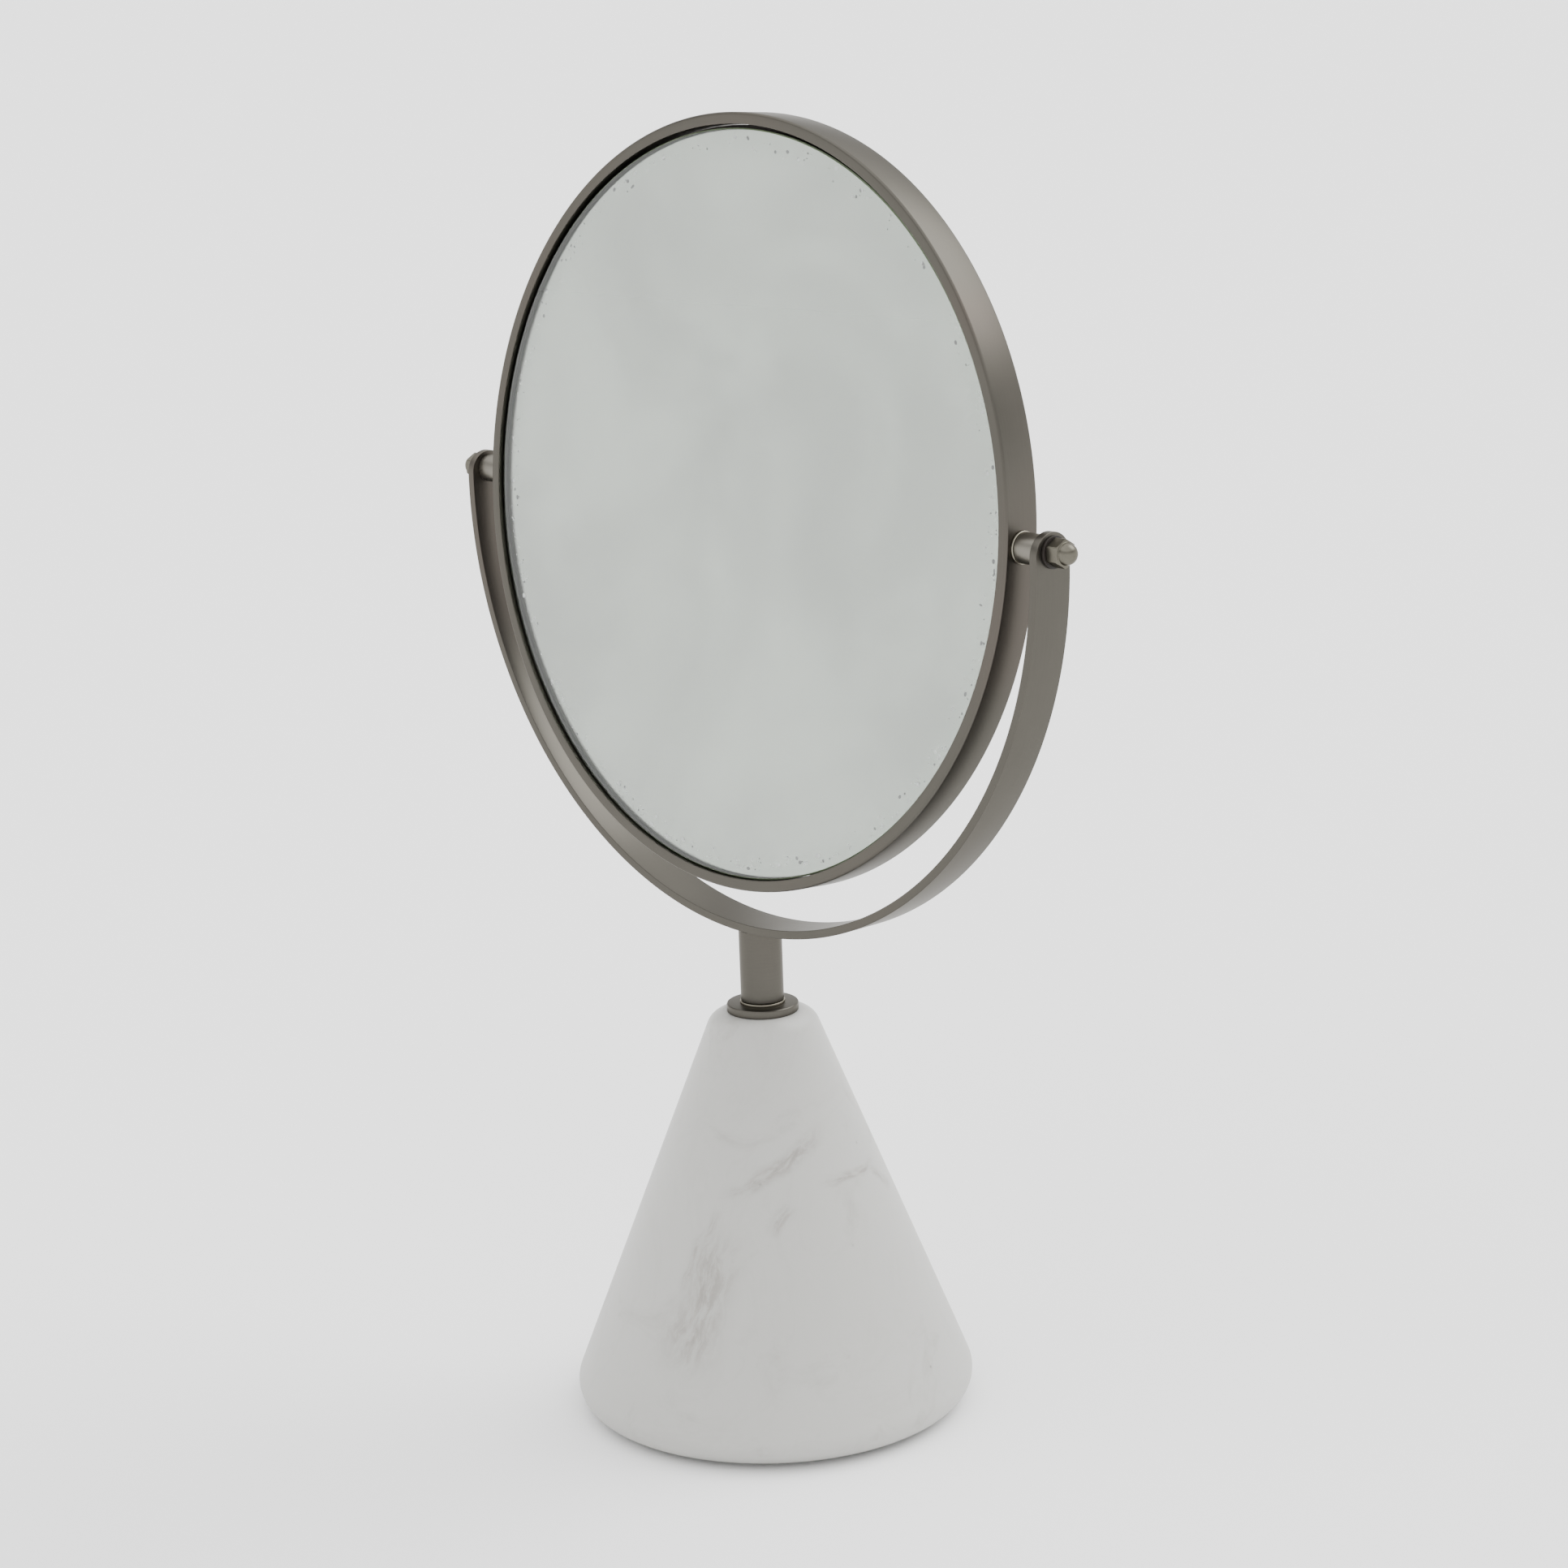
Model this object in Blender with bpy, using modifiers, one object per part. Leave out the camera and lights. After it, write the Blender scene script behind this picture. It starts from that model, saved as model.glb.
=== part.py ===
"""Table mirror on a marble cone, for Blender 4.5. Metres, +Z up.

A round mirror tilts between the arms of a flat-bar yoke. The yoke stands on a short stem
that swivels on the base. The origin is the middle of the base's underside, and the front
glass faces -Y.
"""

import math

import bmesh
import bpy
from mathutils import Vector

# Clearances
GAP = 0.0003                    # between two faces that touch
RUNNING_CLEARANCE = 0.0015      # round the tie rod in the marble and the flange

# Marble base and felt
FELT_THICKNESS = 0.0012
FELT_INSET = 0.003              # from the edge of the marble's flat underside
CONE_FOOT_RADIUS = 0.0708       # where the slope would meet the underside
MARBLE_HEIGHT = 0.13605
FOOT_ROUNDING = 0.0079
SHOULDER_ROUNDING = 0.0065
SHOULDER_LEDGE = 0.0006         # flat marble round the flange
COUNTERBORE_RADIUS = 0.020
COUNTERBORE_DEPTH = 0.022

# Flange on the marble
FLANGE_RADIUS = 0.012
FLANGE_THICKNESS = 0.0025
FLANGE_CHAMFER = 0.0006
SPIGOT_RADIUS = 0.008
SPIGOT_DEPTH = 0.006

# Stem and the tie rod that is screwed into it
STEM_RADIUS = 0.0072
STEM_LENGTH = 0.02403
STEM_CHAMFER = 0.0004
STEM_BORE_DEPTH = 0.016
STEM_WASHER_LIP = 0.0003        # how far the washer stands out past the stem
STEM_WASHER_THICKNESS = 0.0005
ROD_RADIUS = 0.004
ROD_CHAMFER = 0.0006
ROD_END = 0.003                 # thread showing below the nut

# Nut and washers under the marble
BASE_WASHER_RADIUS = 0.012
BASE_WASHER_THICKNESS = 0.0016
SPRING_WASHER_RADIUS = 0.0074
SPRING_WASHER_THICKNESS = 0.002
SPRING_WASHER_SLOT = 0.0012
SPRING_WASHER_SLANT = math.radians(25.0)
BASE_NUT_FLATS = 0.013
BASE_NUT_HEIGHT = 0.0065

# Yoke strap
YOKE_THICKNESS = 0.0028
YOKE_WIDTH = 0.0145
YOKE_TIP = 0.00605              # from the pivot's axis to the end of each arm
ARM_RISE = 0.0039               # straight part of each arm, from the arc's ends to the pivot

# Mirror: glass, core and ring
GLASS_RADIUS = 0.1205
GLASS_THICKNESS = 0.003
GLASS_ARRIS = 0.0004
GLASS_RECESS = 0.00145          # behind the ring's front edge
GLASS_EDGE_GAP = 0.0008         # between the glass and the ring, when centred
FOAM_RADIUS = 0.112
FOAM_THICKNESS = 0.0005
CORE_THICKNESS = 0.0021
RING_WALL = 0.0037
RING_OUTER_ROUNDING = 0.0009
RING_INNER_ROUNDING = 0.0003
REST_TILT = math.radians(4.2)   # the top leans back

# Pivots
STUD_RADIUS = 0.0025
STUD_CHAMFER = 0.0004
RING_WASHER_RADIUS = 0.0051
RING_WASHER_THICKNESS = 0.0006
SPACER_RADIUS = 0.0048
SPACER_LENGTH = 0.00838
SPACER_CHAMFER = 0.0002
BUSH_WALL = 0.0007
BUSH_FLANGE_RADIUS = 0.005
BUSH_FLANGE_THICKNESS = 0.0006
CAP_FLATS = 0.008
CAP_HEX_HEIGHT = 0.0038
NUT_CHAMFER_ANGLE = math.radians(30.0)  # on every nut's corners
CAP_DOME_RADIUS = 0.0036
CAP_HEIGHT = 0.00775
CAP_BORE_DEPTH = 0.0055

# How finely round shapes are divided
SADDLE_SEGMENTS = 384
BIG_SEGMENTS = 96
MIDDLE_SEGMENTS = 48
SMALL_SEGMENTS = 24
YOKE_STEPS = 80
ARC_STEPS = 5
EDGE_STEPS = 2                  # for a rounding of up to EDGE_ROUNDING
EDGE_ROUNDING = 0.002
SLOPE_ROUNDS = 20               # to settle the cone's slope and its shoulder together
SHARP_ANGLE = math.radians(30.0)
WELD = 0.000001                 # points closer than this are one
OVERSHOOT = 4                   # how much longer a cutter is than what it cuts

# Worked out from the values above: heights on the stem's axis
MARBLE_FOOT = FELT_THICKNESS + GAP
MARBLE_TOP = MARBLE_FOOT + MARBLE_HEIGHT
FLANGE_FOOT = MARBLE_TOP + GAP
FLANGE_TOP = FLANGE_FOOT + FLANGE_THICKNESS
STEM_WASHER_FOOT = FLANGE_TOP + GAP
STEM_FOOT = STEM_WASHER_FOOT + STEM_WASHER_THICKNESS + GAP
YOKE_BOTTOM = STEM_FOOT + STEM_LENGTH + GAP
ROD_BORE_RADIUS = ROD_RADIUS + RUNNING_CLEARANCE
ROD_THREAD_RADIUS = ROD_RADIUS + GAP
BASE_WASHER_FOOT = MARBLE_FOOT + COUNTERBORE_DEPTH - GAP - BASE_WASHER_THICKNESS
SPRING_WASHER_FOOT = BASE_WASHER_FOOT - GAP - SPRING_WASHER_THICKNESS
BASE_NUT_FOOT = SPRING_WASHER_FOOT - GAP - BASE_NUT_HEIGHT
ROD_FOOT = BASE_NUT_FOOT - ROD_END
ROD_TOP = STEM_FOOT + STEM_BORE_DEPTH - GAP

# Distances from the middle of the mirror
FOAM_BACK = CORE_THICKNESS / 2 + GAP
GLASS_BACK = FOAM_BACK + FOAM_THICKNESS + GAP
RING_HALF_DEPTH = GLASS_BACK + GLASS_THICKNESS + GLASS_RECESS
GLASS_DROP = GLASS_EDGE_GAP - GAP       # the glass rests on the bottom of the ring
RING_BORE = GLASS_RADIUS + GLASS_EDGE_GAP
RING_RADIUS = RING_BORE + RING_WALL
CORE_RADIUS = RING_BORE - GAP
STUD_HOLE_RADIUS = STUD_RADIUS + GAP
RING_WASHER_SEAT = RING_RADIUS + GAP
SPACER_SEAT = RING_WASHER_SEAT + RING_WASHER_THICKNESS + GAP
YOKE_INNER_RADIUS = SPACER_SEAT + SPACER_LENGTH + GAP
YOKE_OUTER_RADIUS = YOKE_INNER_RADIUS + YOKE_THICKNESS
BUSH_RADIUS = STUD_HOLE_RADIUS + BUSH_WALL
CAP_SEAT = YOKE_OUTER_RADIUS + GAP + BUSH_FLANGE_THICKNESS + GAP
STUD_END = CAP_SEAT + CAP_BORE_DEPTH - GAP
ARC_CENTRE = YOKE_BOTTOM + YOKE_OUTER_RADIUS
PIVOT_HEIGHT = ARC_CENTRE + ARM_RISE


def clear_scene():
    """Remove every object."""
    for item in list(bpy.data.objects):
        bpy.data.objects.remove(item, do_unlink=True)


def new_collection(name):
    """Make a collection in the scene."""
    collection = bpy.data.collections.new(name)
    bpy.context.scene.collection.children.link(collection)
    return collection


def finish(name, colour, roughness, metallic):
    """Make a Principled material."""
    material = bpy.data.materials.new(name)
    material.use_nodes = True
    shader = material.node_tree.nodes["Principled BSDF"]
    shader.inputs["Base Color"].default_value = (*colour, 1.0)
    shader.inputs["Roughness"].default_value = roughness
    shader.inputs["Metallic"].default_value = metallic
    return material


def add_piece(name, mesh, material=None):
    """Put a mesh in the parts collection, or among the cutters when it has no material."""
    piece = bpy.data.objects.new(name, mesh)
    if material is None:
        CUTTERS.objects.link(piece)
        piece.hide_render = True
        piece.display_type = "WIRE"
    else:
        PARTS.objects.link(piece)
        mesh.materials.append(material)
    return piece


def add_axis(name, height, tilt, parent=None):
    """Make an empty on a joint's axis."""
    axis = bpy.data.objects.new(name, None)
    PARTS.objects.link(axis)
    axis.location.z = height
    axis.rotation_euler.x = tilt
    axis.parent = parent
    return axis


def settle(piece):
    """Apply the modifiers, and shade the piece smooth between its sharp edges."""
    bpy.context.view_layer.update()
    graph = bpy.context.evaluated_depsgraph_get()
    mesh = bpy.data.meshes.new_from_object(piece.evaluated_get(graph))
    piece.modifiers.clear()
    piece.data = mesh
    mesh.name = piece.name
    mesh.shade_smooth()
    mesh.set_sharp_from_angle(angle=SHARP_ANGLE)
    return piece


def combine(piece, cutter, operation):
    """Add an exact Boolean to the piece."""
    boolean = piece.modifiers.new(operation.title(), "BOOLEAN")
    boolean.operation = operation
    boolean.solver = "EXACT"
    boolean.object = cutter


def fillet_reach(radius, corner_angle):
    """Return how far from a corner its rounding starts."""
    return radius / math.tan(corner_angle / 2)


def rounded(corners):
    """Return a polyline through corners (radius, height, rounding), each rounded by an arc."""
    points = []
    for index, (x, z, rounding) in enumerate(corners):
        here = Vector((x, z))
        if rounding == 0:
            points.append(here)
            continue
        before = (Vector(corners[index - 1][:2]) - here).normalized()
        after = (Vector(corners[(index + 1) % len(corners)][:2]) - here).normalized()
        corner_angle = before.angle(after)
        start = here + before * fillet_reach(rounding, corner_angle)
        end = here + after * fillet_reach(rounding, corner_angle)
        centre = here + (before + after).normalized() * rounding / math.sin(corner_angle / 2)
        first = math.atan2(start.y - centre.y, start.x - centre.x)
        last = math.atan2(end.y - centre.y, end.x - centre.x)
        sweep = math.remainder(last - first, math.tau)
        steps = ARC_STEPS if rounding > EDGE_ROUNDING else EDGE_STEPS
        for step in range(steps + 1):
            angle = first + sweep * step / steps
            points.append(centre + rounding * Vector((math.cos(angle), math.sin(angle))))
    return points


def turned(name, corners, segments, material=None, closed=True):
    """Turn a profile of (radius, height, rounding) corners about local Z.

    The profile runs down its outer side. A closed one has a bore; an open one starts and
    ends on the axis.
    """
    outline = rounded(corners)
    count = len(outline)
    edges = [(index, index + 1) for index in range(count - 1)]
    if closed:
        edges.append((count - 1, 0))
    mesh = bpy.data.meshes.new(name)
    mesh.from_pydata([(point.x, 0.0, point.y) for point in outline], edges, [])
    piece = add_piece(name, mesh, material)
    screw = piece.modifiers.new("Turn", "SCREW")
    screw.axis = "Z"
    screw.steps = segments
    screw.render_steps = segments
    screw.use_merge_vertices = True
    screw.merge_threshold = WELD
    return piece


def cylinder(name, radius, length, segments, material=None):
    """Make a cylinder along local Z, centred on its origin."""
    bm = bmesh.new()
    bmesh.ops.create_cone(
        bm, cap_ends=True, segments=segments, radius1=radius, radius2=radius, depth=length
    )
    mesh = bpy.data.meshes.new(name)
    bm.to_mesh(mesh)
    bm.free()
    return add_piece(name, mesh, material)


def block(name, size, material=None):
    """Make a box of the given size, centred on its origin."""
    bm = bmesh.new()
    bmesh.ops.create_cube(bm, size=1.0)
    bmesh.ops.scale(bm, vec=size, verts=bm.verts)
    mesh = bpy.data.meshes.new(name)
    bm.to_mesh(mesh)
    bm.free()
    return add_piece(name, mesh, material)


def hexagon(name, flats, length):
    """Make a hexagonal cutter along local Z, centred on its origin."""
    return cylinder(name, flats / 2 / math.cos(math.pi / 6), length, 6)


def curve_mesh(name, points, half_width, filled, closed):
    """Return the mesh of a flat curve drawn in local XY and extruded along local Z."""
    curve = bpy.data.curves.new(name, "CURVE")
    curve.dimensions = "2D"
    curve.fill_mode = "BOTH" if filled else "NONE"
    curve.extrude = half_width
    spline = curve.splines.new("POLY")
    spline.points.add(len(points) - 1)
    for control, (x, y) in zip(spline.points, points):
        control.co = (x, y, 0.0, 1.0)
    spline.use_cyclic_u = closed
    guide = bpy.data.objects.new(name, curve)
    CUTTERS.objects.link(guide)
    bpy.context.view_layer.update()
    graph = bpy.context.evaluated_depsgraph_get()
    mesh = bpy.data.meshes.new_from_object(guide.evaluated_get(graph))
    bpy.data.objects.remove(guide, do_unlink=True)
    bm = bmesh.new()
    bm.from_mesh(mesh)
    bmesh.ops.remove_doubles(bm, verts=bm.verts, dist=WELD)
    bmesh.ops.recalc_face_normals(bm, faces=bm.faces)
    bm.to_mesh(mesh)
    bm.free()
    return mesh


def stand(piece, height, parent=None):
    """Stand a piece on the stem's axis at a height."""
    piece.location.z = height
    piece.parent = parent
    return piece


def on_pivot(piece, side, distance, parent):
    """Lay a piece along the pivot axis, its local Z pointing outwards on that side."""
    height = 0.0 if parent is TILT_AXIS else PIVOT_HEIGHT
    piece.location = (side * distance, 0.0, height)
    piece.rotation_euler.y = side * math.pi / 2
    piece.parent = parent
    return piece


def facing(piece, side, distance):
    """Face a disc to the front (-1) or the back (+1) of the mirror."""
    piece.location.y = side * distance
    piece.rotation_euler.x = -side * math.pi / 2
    piece.parent = TILT_AXIS
    return piece


def make_felt_pad(material):
    """The felt disc that the base stands on."""
    slope = math.atan2(MARBLE_HEIGHT, CONE_FOOT_RADIUS - cone_top_radius())
    flat = CONE_FOOT_RADIUS - fillet_reach(FOOT_ROUNDING, slope)
    pad = cylinder("felt_pad", flat - FELT_INSET, FELT_THICKNESS, MIDDLE_SEGMENTS, material)
    settle(stand(pad, FELT_THICKNESS / 2))


def cone_top_radius():
    """Return the radius where the slope would meet the top, outside the flange's ledge."""
    ledge = FLANGE_RADIUS + SHOULDER_LEDGE
    radius = ledge
    for _ in range(SLOPE_ROUNDS):
        slope = math.atan2(MARBLE_HEIGHT, CONE_FOOT_RADIUS - radius)
        radius = ledge + fillet_reach(SHOULDER_ROUNDING, math.pi - slope)
    return radius


def make_marble_base(material):
    """The cone, bored for the tie rod and counterbored for its nut."""
    ceiling = MARBLE_FOOT + COUNTERBORE_DEPTH
    recess = MARBLE_TOP - SPIGOT_DEPTH - GAP
    corners = [
        (cone_top_radius(), MARBLE_TOP, SHOULDER_ROUNDING),
        (CONE_FOOT_RADIUS, MARBLE_FOOT, FOOT_ROUNDING),
        (COUNTERBORE_RADIUS, MARBLE_FOOT, 0),
        (COUNTERBORE_RADIUS, ceiling, 0),
        (ROD_BORE_RADIUS, ceiling, 0),
        (ROD_BORE_RADIUS, recess, 0),
        (SPIGOT_RADIUS + GAP, recess, 0),
        (SPIGOT_RADIUS + GAP, MARBLE_TOP, 0),
    ]
    settle(turned("marble_base", corners, BIG_SEGMENTS, material))


def make_base_flange(material):
    """The metal flange whose spigot centres it in the marble."""
    corners = [
        (FLANGE_RADIUS, FLANGE_THICKNESS, FLANGE_CHAMFER),
        (FLANGE_RADIUS, 0, 0),
        (SPIGOT_RADIUS, 0, 0),
        (SPIGOT_RADIUS, -SPIGOT_DEPTH, 0),
        (ROD_BORE_RADIUS, -SPIGOT_DEPTH, 0),
        (ROD_BORE_RADIUS, FLANGE_THICKNESS, 0),
    ]
    flange = turned("base_flange", corners, MIDDLE_SEGMENTS, material)
    settle(stand(flange, FLANGE_FOOT))


def make_ring(name, radius, bore, thickness, segments, material, edge=0):
    """A plain washer, its underside at local zero."""
    corners = [(radius, thickness, edge), (radius, 0, edge), (bore, 0, 0), (bore, thickness, 0)]
    return turned(name, corners, segments, material)


def make_stem(material):
    """The stem, tapped from below and saddle-cut to the yoke's underside."""
    top = STEM_LENGTH + YOKE_THICKNESS
    corners = [
        (0, top, 0),
        (STEM_RADIUS, top, 0),
        (STEM_RADIUS, 0, STEM_CHAMFER),
        (ROD_THREAD_RADIUS, 0, 0),
        (ROD_THREAD_RADIUS, STEM_BORE_DEPTH, 0),
        (0, STEM_BORE_DEPTH, 0),
    ]
    stem = turned("stem", corners, MIDDLE_SEGMENTS, material, closed=False)
    stand(stem, STEM_FOOT, SWIVEL_AXIS)
    saddle = cylinder(
        "saddle_cutter", YOKE_OUTER_RADIUS + GAP, OVERSHOOT * STEM_RADIUS, SADDLE_SEGMENTS
    )
    saddle.location.z = ARC_CENTRE
    saddle.rotation_euler.x = math.pi / 2
    combine(stem, saddle, "DIFFERENCE")
    settle(stem)


def make_stem_washer(material):
    """The thin washer between the stem and the flange."""
    radius = STEM_RADIUS + STEM_WASHER_LIP
    washer = make_ring(
        "stem_washer", radius, ROD_THREAD_RADIUS, STEM_WASHER_THICKNESS, MIDDLE_SEGMENTS, material
    )
    settle(stand(washer, STEM_WASHER_FOOT, SWIVEL_AXIS))


def make_tie_rod(material):
    """The rod that draws the stem down on the marble."""
    length = ROD_TOP - ROD_FOOT
    corners = [
        (0, length, 0),
        (ROD_RADIUS - ROD_CHAMFER, length, 0),
        (ROD_RADIUS, length - ROD_CHAMFER, 0),
        (ROD_RADIUS, ROD_CHAMFER, 0),
        (ROD_RADIUS - ROD_CHAMFER, 0, 0),
        (0, 0, 0),
    ]
    rod = turned("tie_rod", corners, SMALL_SEGMENTS, material, closed=False)
    settle(stand(rod, ROD_FOOT, SWIVEL_AXIS))


def make_base_washer(material):
    """The wide washer against the marble."""
    washer = make_ring(
        "base_washer", BASE_WASHER_RADIUS, ROD_THREAD_RADIUS, BASE_WASHER_THICKNESS,
        MIDDLE_SEGMENTS, material
    )
    settle(stand(washer, BASE_WASHER_FOOT, SWIVEL_AXIS))


def make_spring_washer(material):
    """The split washer that keeps the swivel's friction."""
    washer = make_ring(
        "spring_washer", SPRING_WASHER_RADIUS, ROD_THREAD_RADIUS, SPRING_WASHER_THICKNESS,
        SMALL_SEGMENTS, material
    )
    stand(washer, SPRING_WASHER_FOOT, SWIVEL_AXIS)
    slot_length = SPRING_WASHER_RADIUS + GAP
    slot = block(
        "slot_cutter", (slot_length, SPRING_WASHER_SLOT, OVERSHOOT * SPRING_WASHER_THICKNESS)
    )
    slot.location = (slot_length / 2, 0, SPRING_WASHER_FOOT + SPRING_WASHER_THICKNESS / 2)
    slot.rotation_euler.x = SPRING_WASHER_SLANT
    combine(washer, slot, "DIFFERENCE")
    settle(washer)


def make_base_nut(material):
    """The hexagonal nut on the tie rod, chamfered on both faces."""
    corner_radius = BASE_NUT_FLATS / 2 / math.cos(math.pi / 6)
    chamfer_start = BASE_NUT_FLATS / 2 - GAP
    drop = (corner_radius - chamfer_start) * math.tan(NUT_CHAMFER_ANGLE)
    corners = [
        (chamfer_start, BASE_NUT_HEIGHT, 0),
        (corner_radius, BASE_NUT_HEIGHT - drop, 0),
        (corner_radius, drop, 0),
        (chamfer_start, 0, 0),
        (ROD_THREAD_RADIUS, 0, 0),
        (ROD_THREAD_RADIUS, BASE_NUT_HEIGHT, 0),
    ]
    nut = turned("base_nut", corners, MIDDLE_SEGMENTS, material)
    stand(nut, BASE_NUT_FOOT, SWIVEL_AXIS)
    hexagonal = hexagon("base_nut_cutter", BASE_NUT_FLATS, OVERSHOOT * BASE_NUT_HEIGHT)
    hexagonal.location.z = BASE_NUT_FOOT
    combine(nut, hexagonal, "INTERSECT")
    settle(nut)


def make_yoke_strap(material):
    """The flat bar bent round the mirror, with round ends and a hole in each."""
    top = ARC_CENTRE + ARM_RISE + YOKE_WIDTH
    path = [(-YOKE_INNER_RADIUS, top)]
    for step in range(YOKE_STEPS + 1):
        angle = math.pi + math.pi * step / YOKE_STEPS
        path.append((
            YOKE_INNER_RADIUS * math.cos(angle),
            ARC_CENTRE + YOKE_INNER_RADIUS * math.sin(angle),
        ))
    path.append((YOKE_INNER_RADIUS, top))
    mesh = curve_mesh("yoke_strap", path, YOKE_WIDTH / 2, filled=False, closed=False)
    strap = add_piece("yoke_strap", mesh, material)
    strap.rotation_euler.x = math.pi / 2
    strap.parent = SWIVEL_AXIS
    wall = strap.modifiers.new("Thickness", "SOLIDIFY")
    wall.thickness = YOKE_THICKNESS
    wall.use_even_offset = True
    wall.offset = yoke_wall_side(mesh)
    combine(strap, make_yoke_end_cutter(), "INTERSECT")
    holes = cylinder("yoke_hole_cutter", BUSH_RADIUS + GAP, OVERSHOOT * YOKE_OUTER_RADIUS, SMALL_SEGMENTS)
    holes.location.z = PIVOT_HEIGHT
    holes.rotation_euler.y = math.pi / 2
    combine(strap, holes, "DIFFERENCE")
    settle(strap)


def yoke_wall_side(mesh):
    """Return the Solidify offset that thickens the strap outwards, away from its centre."""
    middle = min(mesh.polygons, key=lambda face: face.center.y)
    return 1.0 if middle.normal.y < 0 else -1.0


def make_yoke_end_cutter():
    """The strap's outline seen from the side: straight, with a half round just past the pivot."""
    half = YOKE_WIDTH / 2
    centre = PIVOT_HEIGHT + YOKE_TIP - half
    outline = [(half, 0.0)]
    for step in range(SMALL_SEGMENTS + 1):
        angle = math.pi * step / SMALL_SEGMENTS
        outline.append((half * math.cos(angle), centre + half * math.sin(angle)))
    outline.append((-half, 0.0))
    mesh = curve_mesh("yoke_end_cutter", outline, 2 * YOKE_OUTER_RADIUS, filled=True, closed=True)
    cutter = add_piece("yoke_end_cutter", mesh)
    cutter.rotation_euler = (math.pi / 2, 0.0, math.pi / 2)
    return cutter


def make_mirror_ring(material):
    """The flat-bar ring round the glass, with a hole for each pivot stud."""
    corners = [
        (RING_RADIUS, RING_HALF_DEPTH, RING_OUTER_ROUNDING),
        (RING_RADIUS, -RING_HALF_DEPTH, RING_OUTER_ROUNDING),
        (RING_BORE, -RING_HALF_DEPTH, RING_INNER_ROUNDING),
        (RING_BORE, RING_HALF_DEPTH, RING_INNER_ROUNDING),
    ]
    ring = facing(turned("mirror_ring", corners, BIG_SEGMENTS, material), -1, 0.0)
    holes = cylinder("ring_hole_cutter", STUD_HOLE_RADIUS, OVERSHOOT * RING_RADIUS, SMALL_SEGMENTS)
    on_pivot(holes, 1, 0.0, TILT_AXIS)
    combine(ring, holes, "DIFFERENCE")
    settle(ring)


def make_glass(name, side, material):
    """A silvered disc with ground edges."""
    corners = [
        (0, GLASS_THICKNESS, 0),
        (GLASS_RADIUS - GLASS_ARRIS, GLASS_THICKNESS, 0),
        (GLASS_RADIUS, GLASS_THICKNESS - GLASS_ARRIS, 0),
        (GLASS_RADIUS, GLASS_ARRIS, 0),
        (GLASS_RADIUS - GLASS_ARRIS, 0, 0),
        (0, 0, 0),
    ]
    glass = facing(turned(name, corners, BIG_SEGMENTS, material, closed=False), side, GLASS_BACK)
    glass.location.z = -GLASS_DROP
    settle(glass)


def make_foam_pad(name, side, material):
    """The adhesive foam that holds a glass on the core."""
    pad = cylinder(name, FOAM_RADIUS, FOAM_THICKNESS, MIDDLE_SEGMENTS, material)
    settle(facing(pad, side, FOAM_BACK + FOAM_THICKNESS / 2))


def make_core_board(material):
    """The board inside the ring, between the two glasses."""
    board = cylinder("core_board", CORE_RADIUS, CORE_THICKNESS, BIG_SEGMENTS, material)
    settle(facing(board, -1, 0.0))


def make_pivot_stud(name, side, material):
    """The stud fixed in the ring's wall, through the spacer and the bush to the cap nut."""
    length = STUD_END - RING_BORE
    corners = [
        (0, length, 0),
        (STUD_RADIUS - STUD_CHAMFER, length, 0),
        (STUD_RADIUS, length - STUD_CHAMFER, 0),
        (STUD_RADIUS, 0, 0),
        (0, 0, 0),
    ]
    stud = turned(name, corners, SMALL_SEGMENTS, material, closed=False)
    settle(on_pivot(stud, side, RING_BORE, TILT_AXIS))


def make_ring_washer(name, side, material):
    """The thin washer between the ring and the spacer."""
    washer = make_ring(
        name, RING_WASHER_RADIUS, STUD_HOLE_RADIUS, RING_WASHER_THICKNESS, SMALL_SEGMENTS, material
    )
    settle(on_pivot(washer, side, RING_WASHER_SEAT, TILT_AXIS))


def make_spacer(name, side, material):
    """The tube that keeps the yoke clear of the ring."""
    spacer = make_ring(
        name, SPACER_RADIUS, STUD_HOLE_RADIUS, SPACER_LENGTH, SMALL_SEGMENTS, material,
        edge=SPACER_CHAMFER
    )
    settle(on_pivot(spacer, side, SPACER_SEAT, TILT_AXIS))


def make_bush(name, side, material):
    """The flanged nylon bush in the strap's hole."""
    flange_foot = YOKE_THICKNESS + GAP
    flange_top = flange_foot + BUSH_FLANGE_THICKNESS
    corners = [
        (BUSH_FLANGE_RADIUS, flange_top, 0),
        (BUSH_FLANGE_RADIUS, flange_foot, 0),
        (BUSH_RADIUS, flange_foot, 0),
        (BUSH_RADIUS, 0, 0),
        (STUD_HOLE_RADIUS, 0, 0),
        (STUD_HOLE_RADIUS, flange_top, 0),
    ]
    bush = turned(name, corners, SMALL_SEGMENTS, material)
    settle(on_pivot(bush, side, YOKE_INNER_RADIUS, SWIVEL_AXIS))


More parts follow.
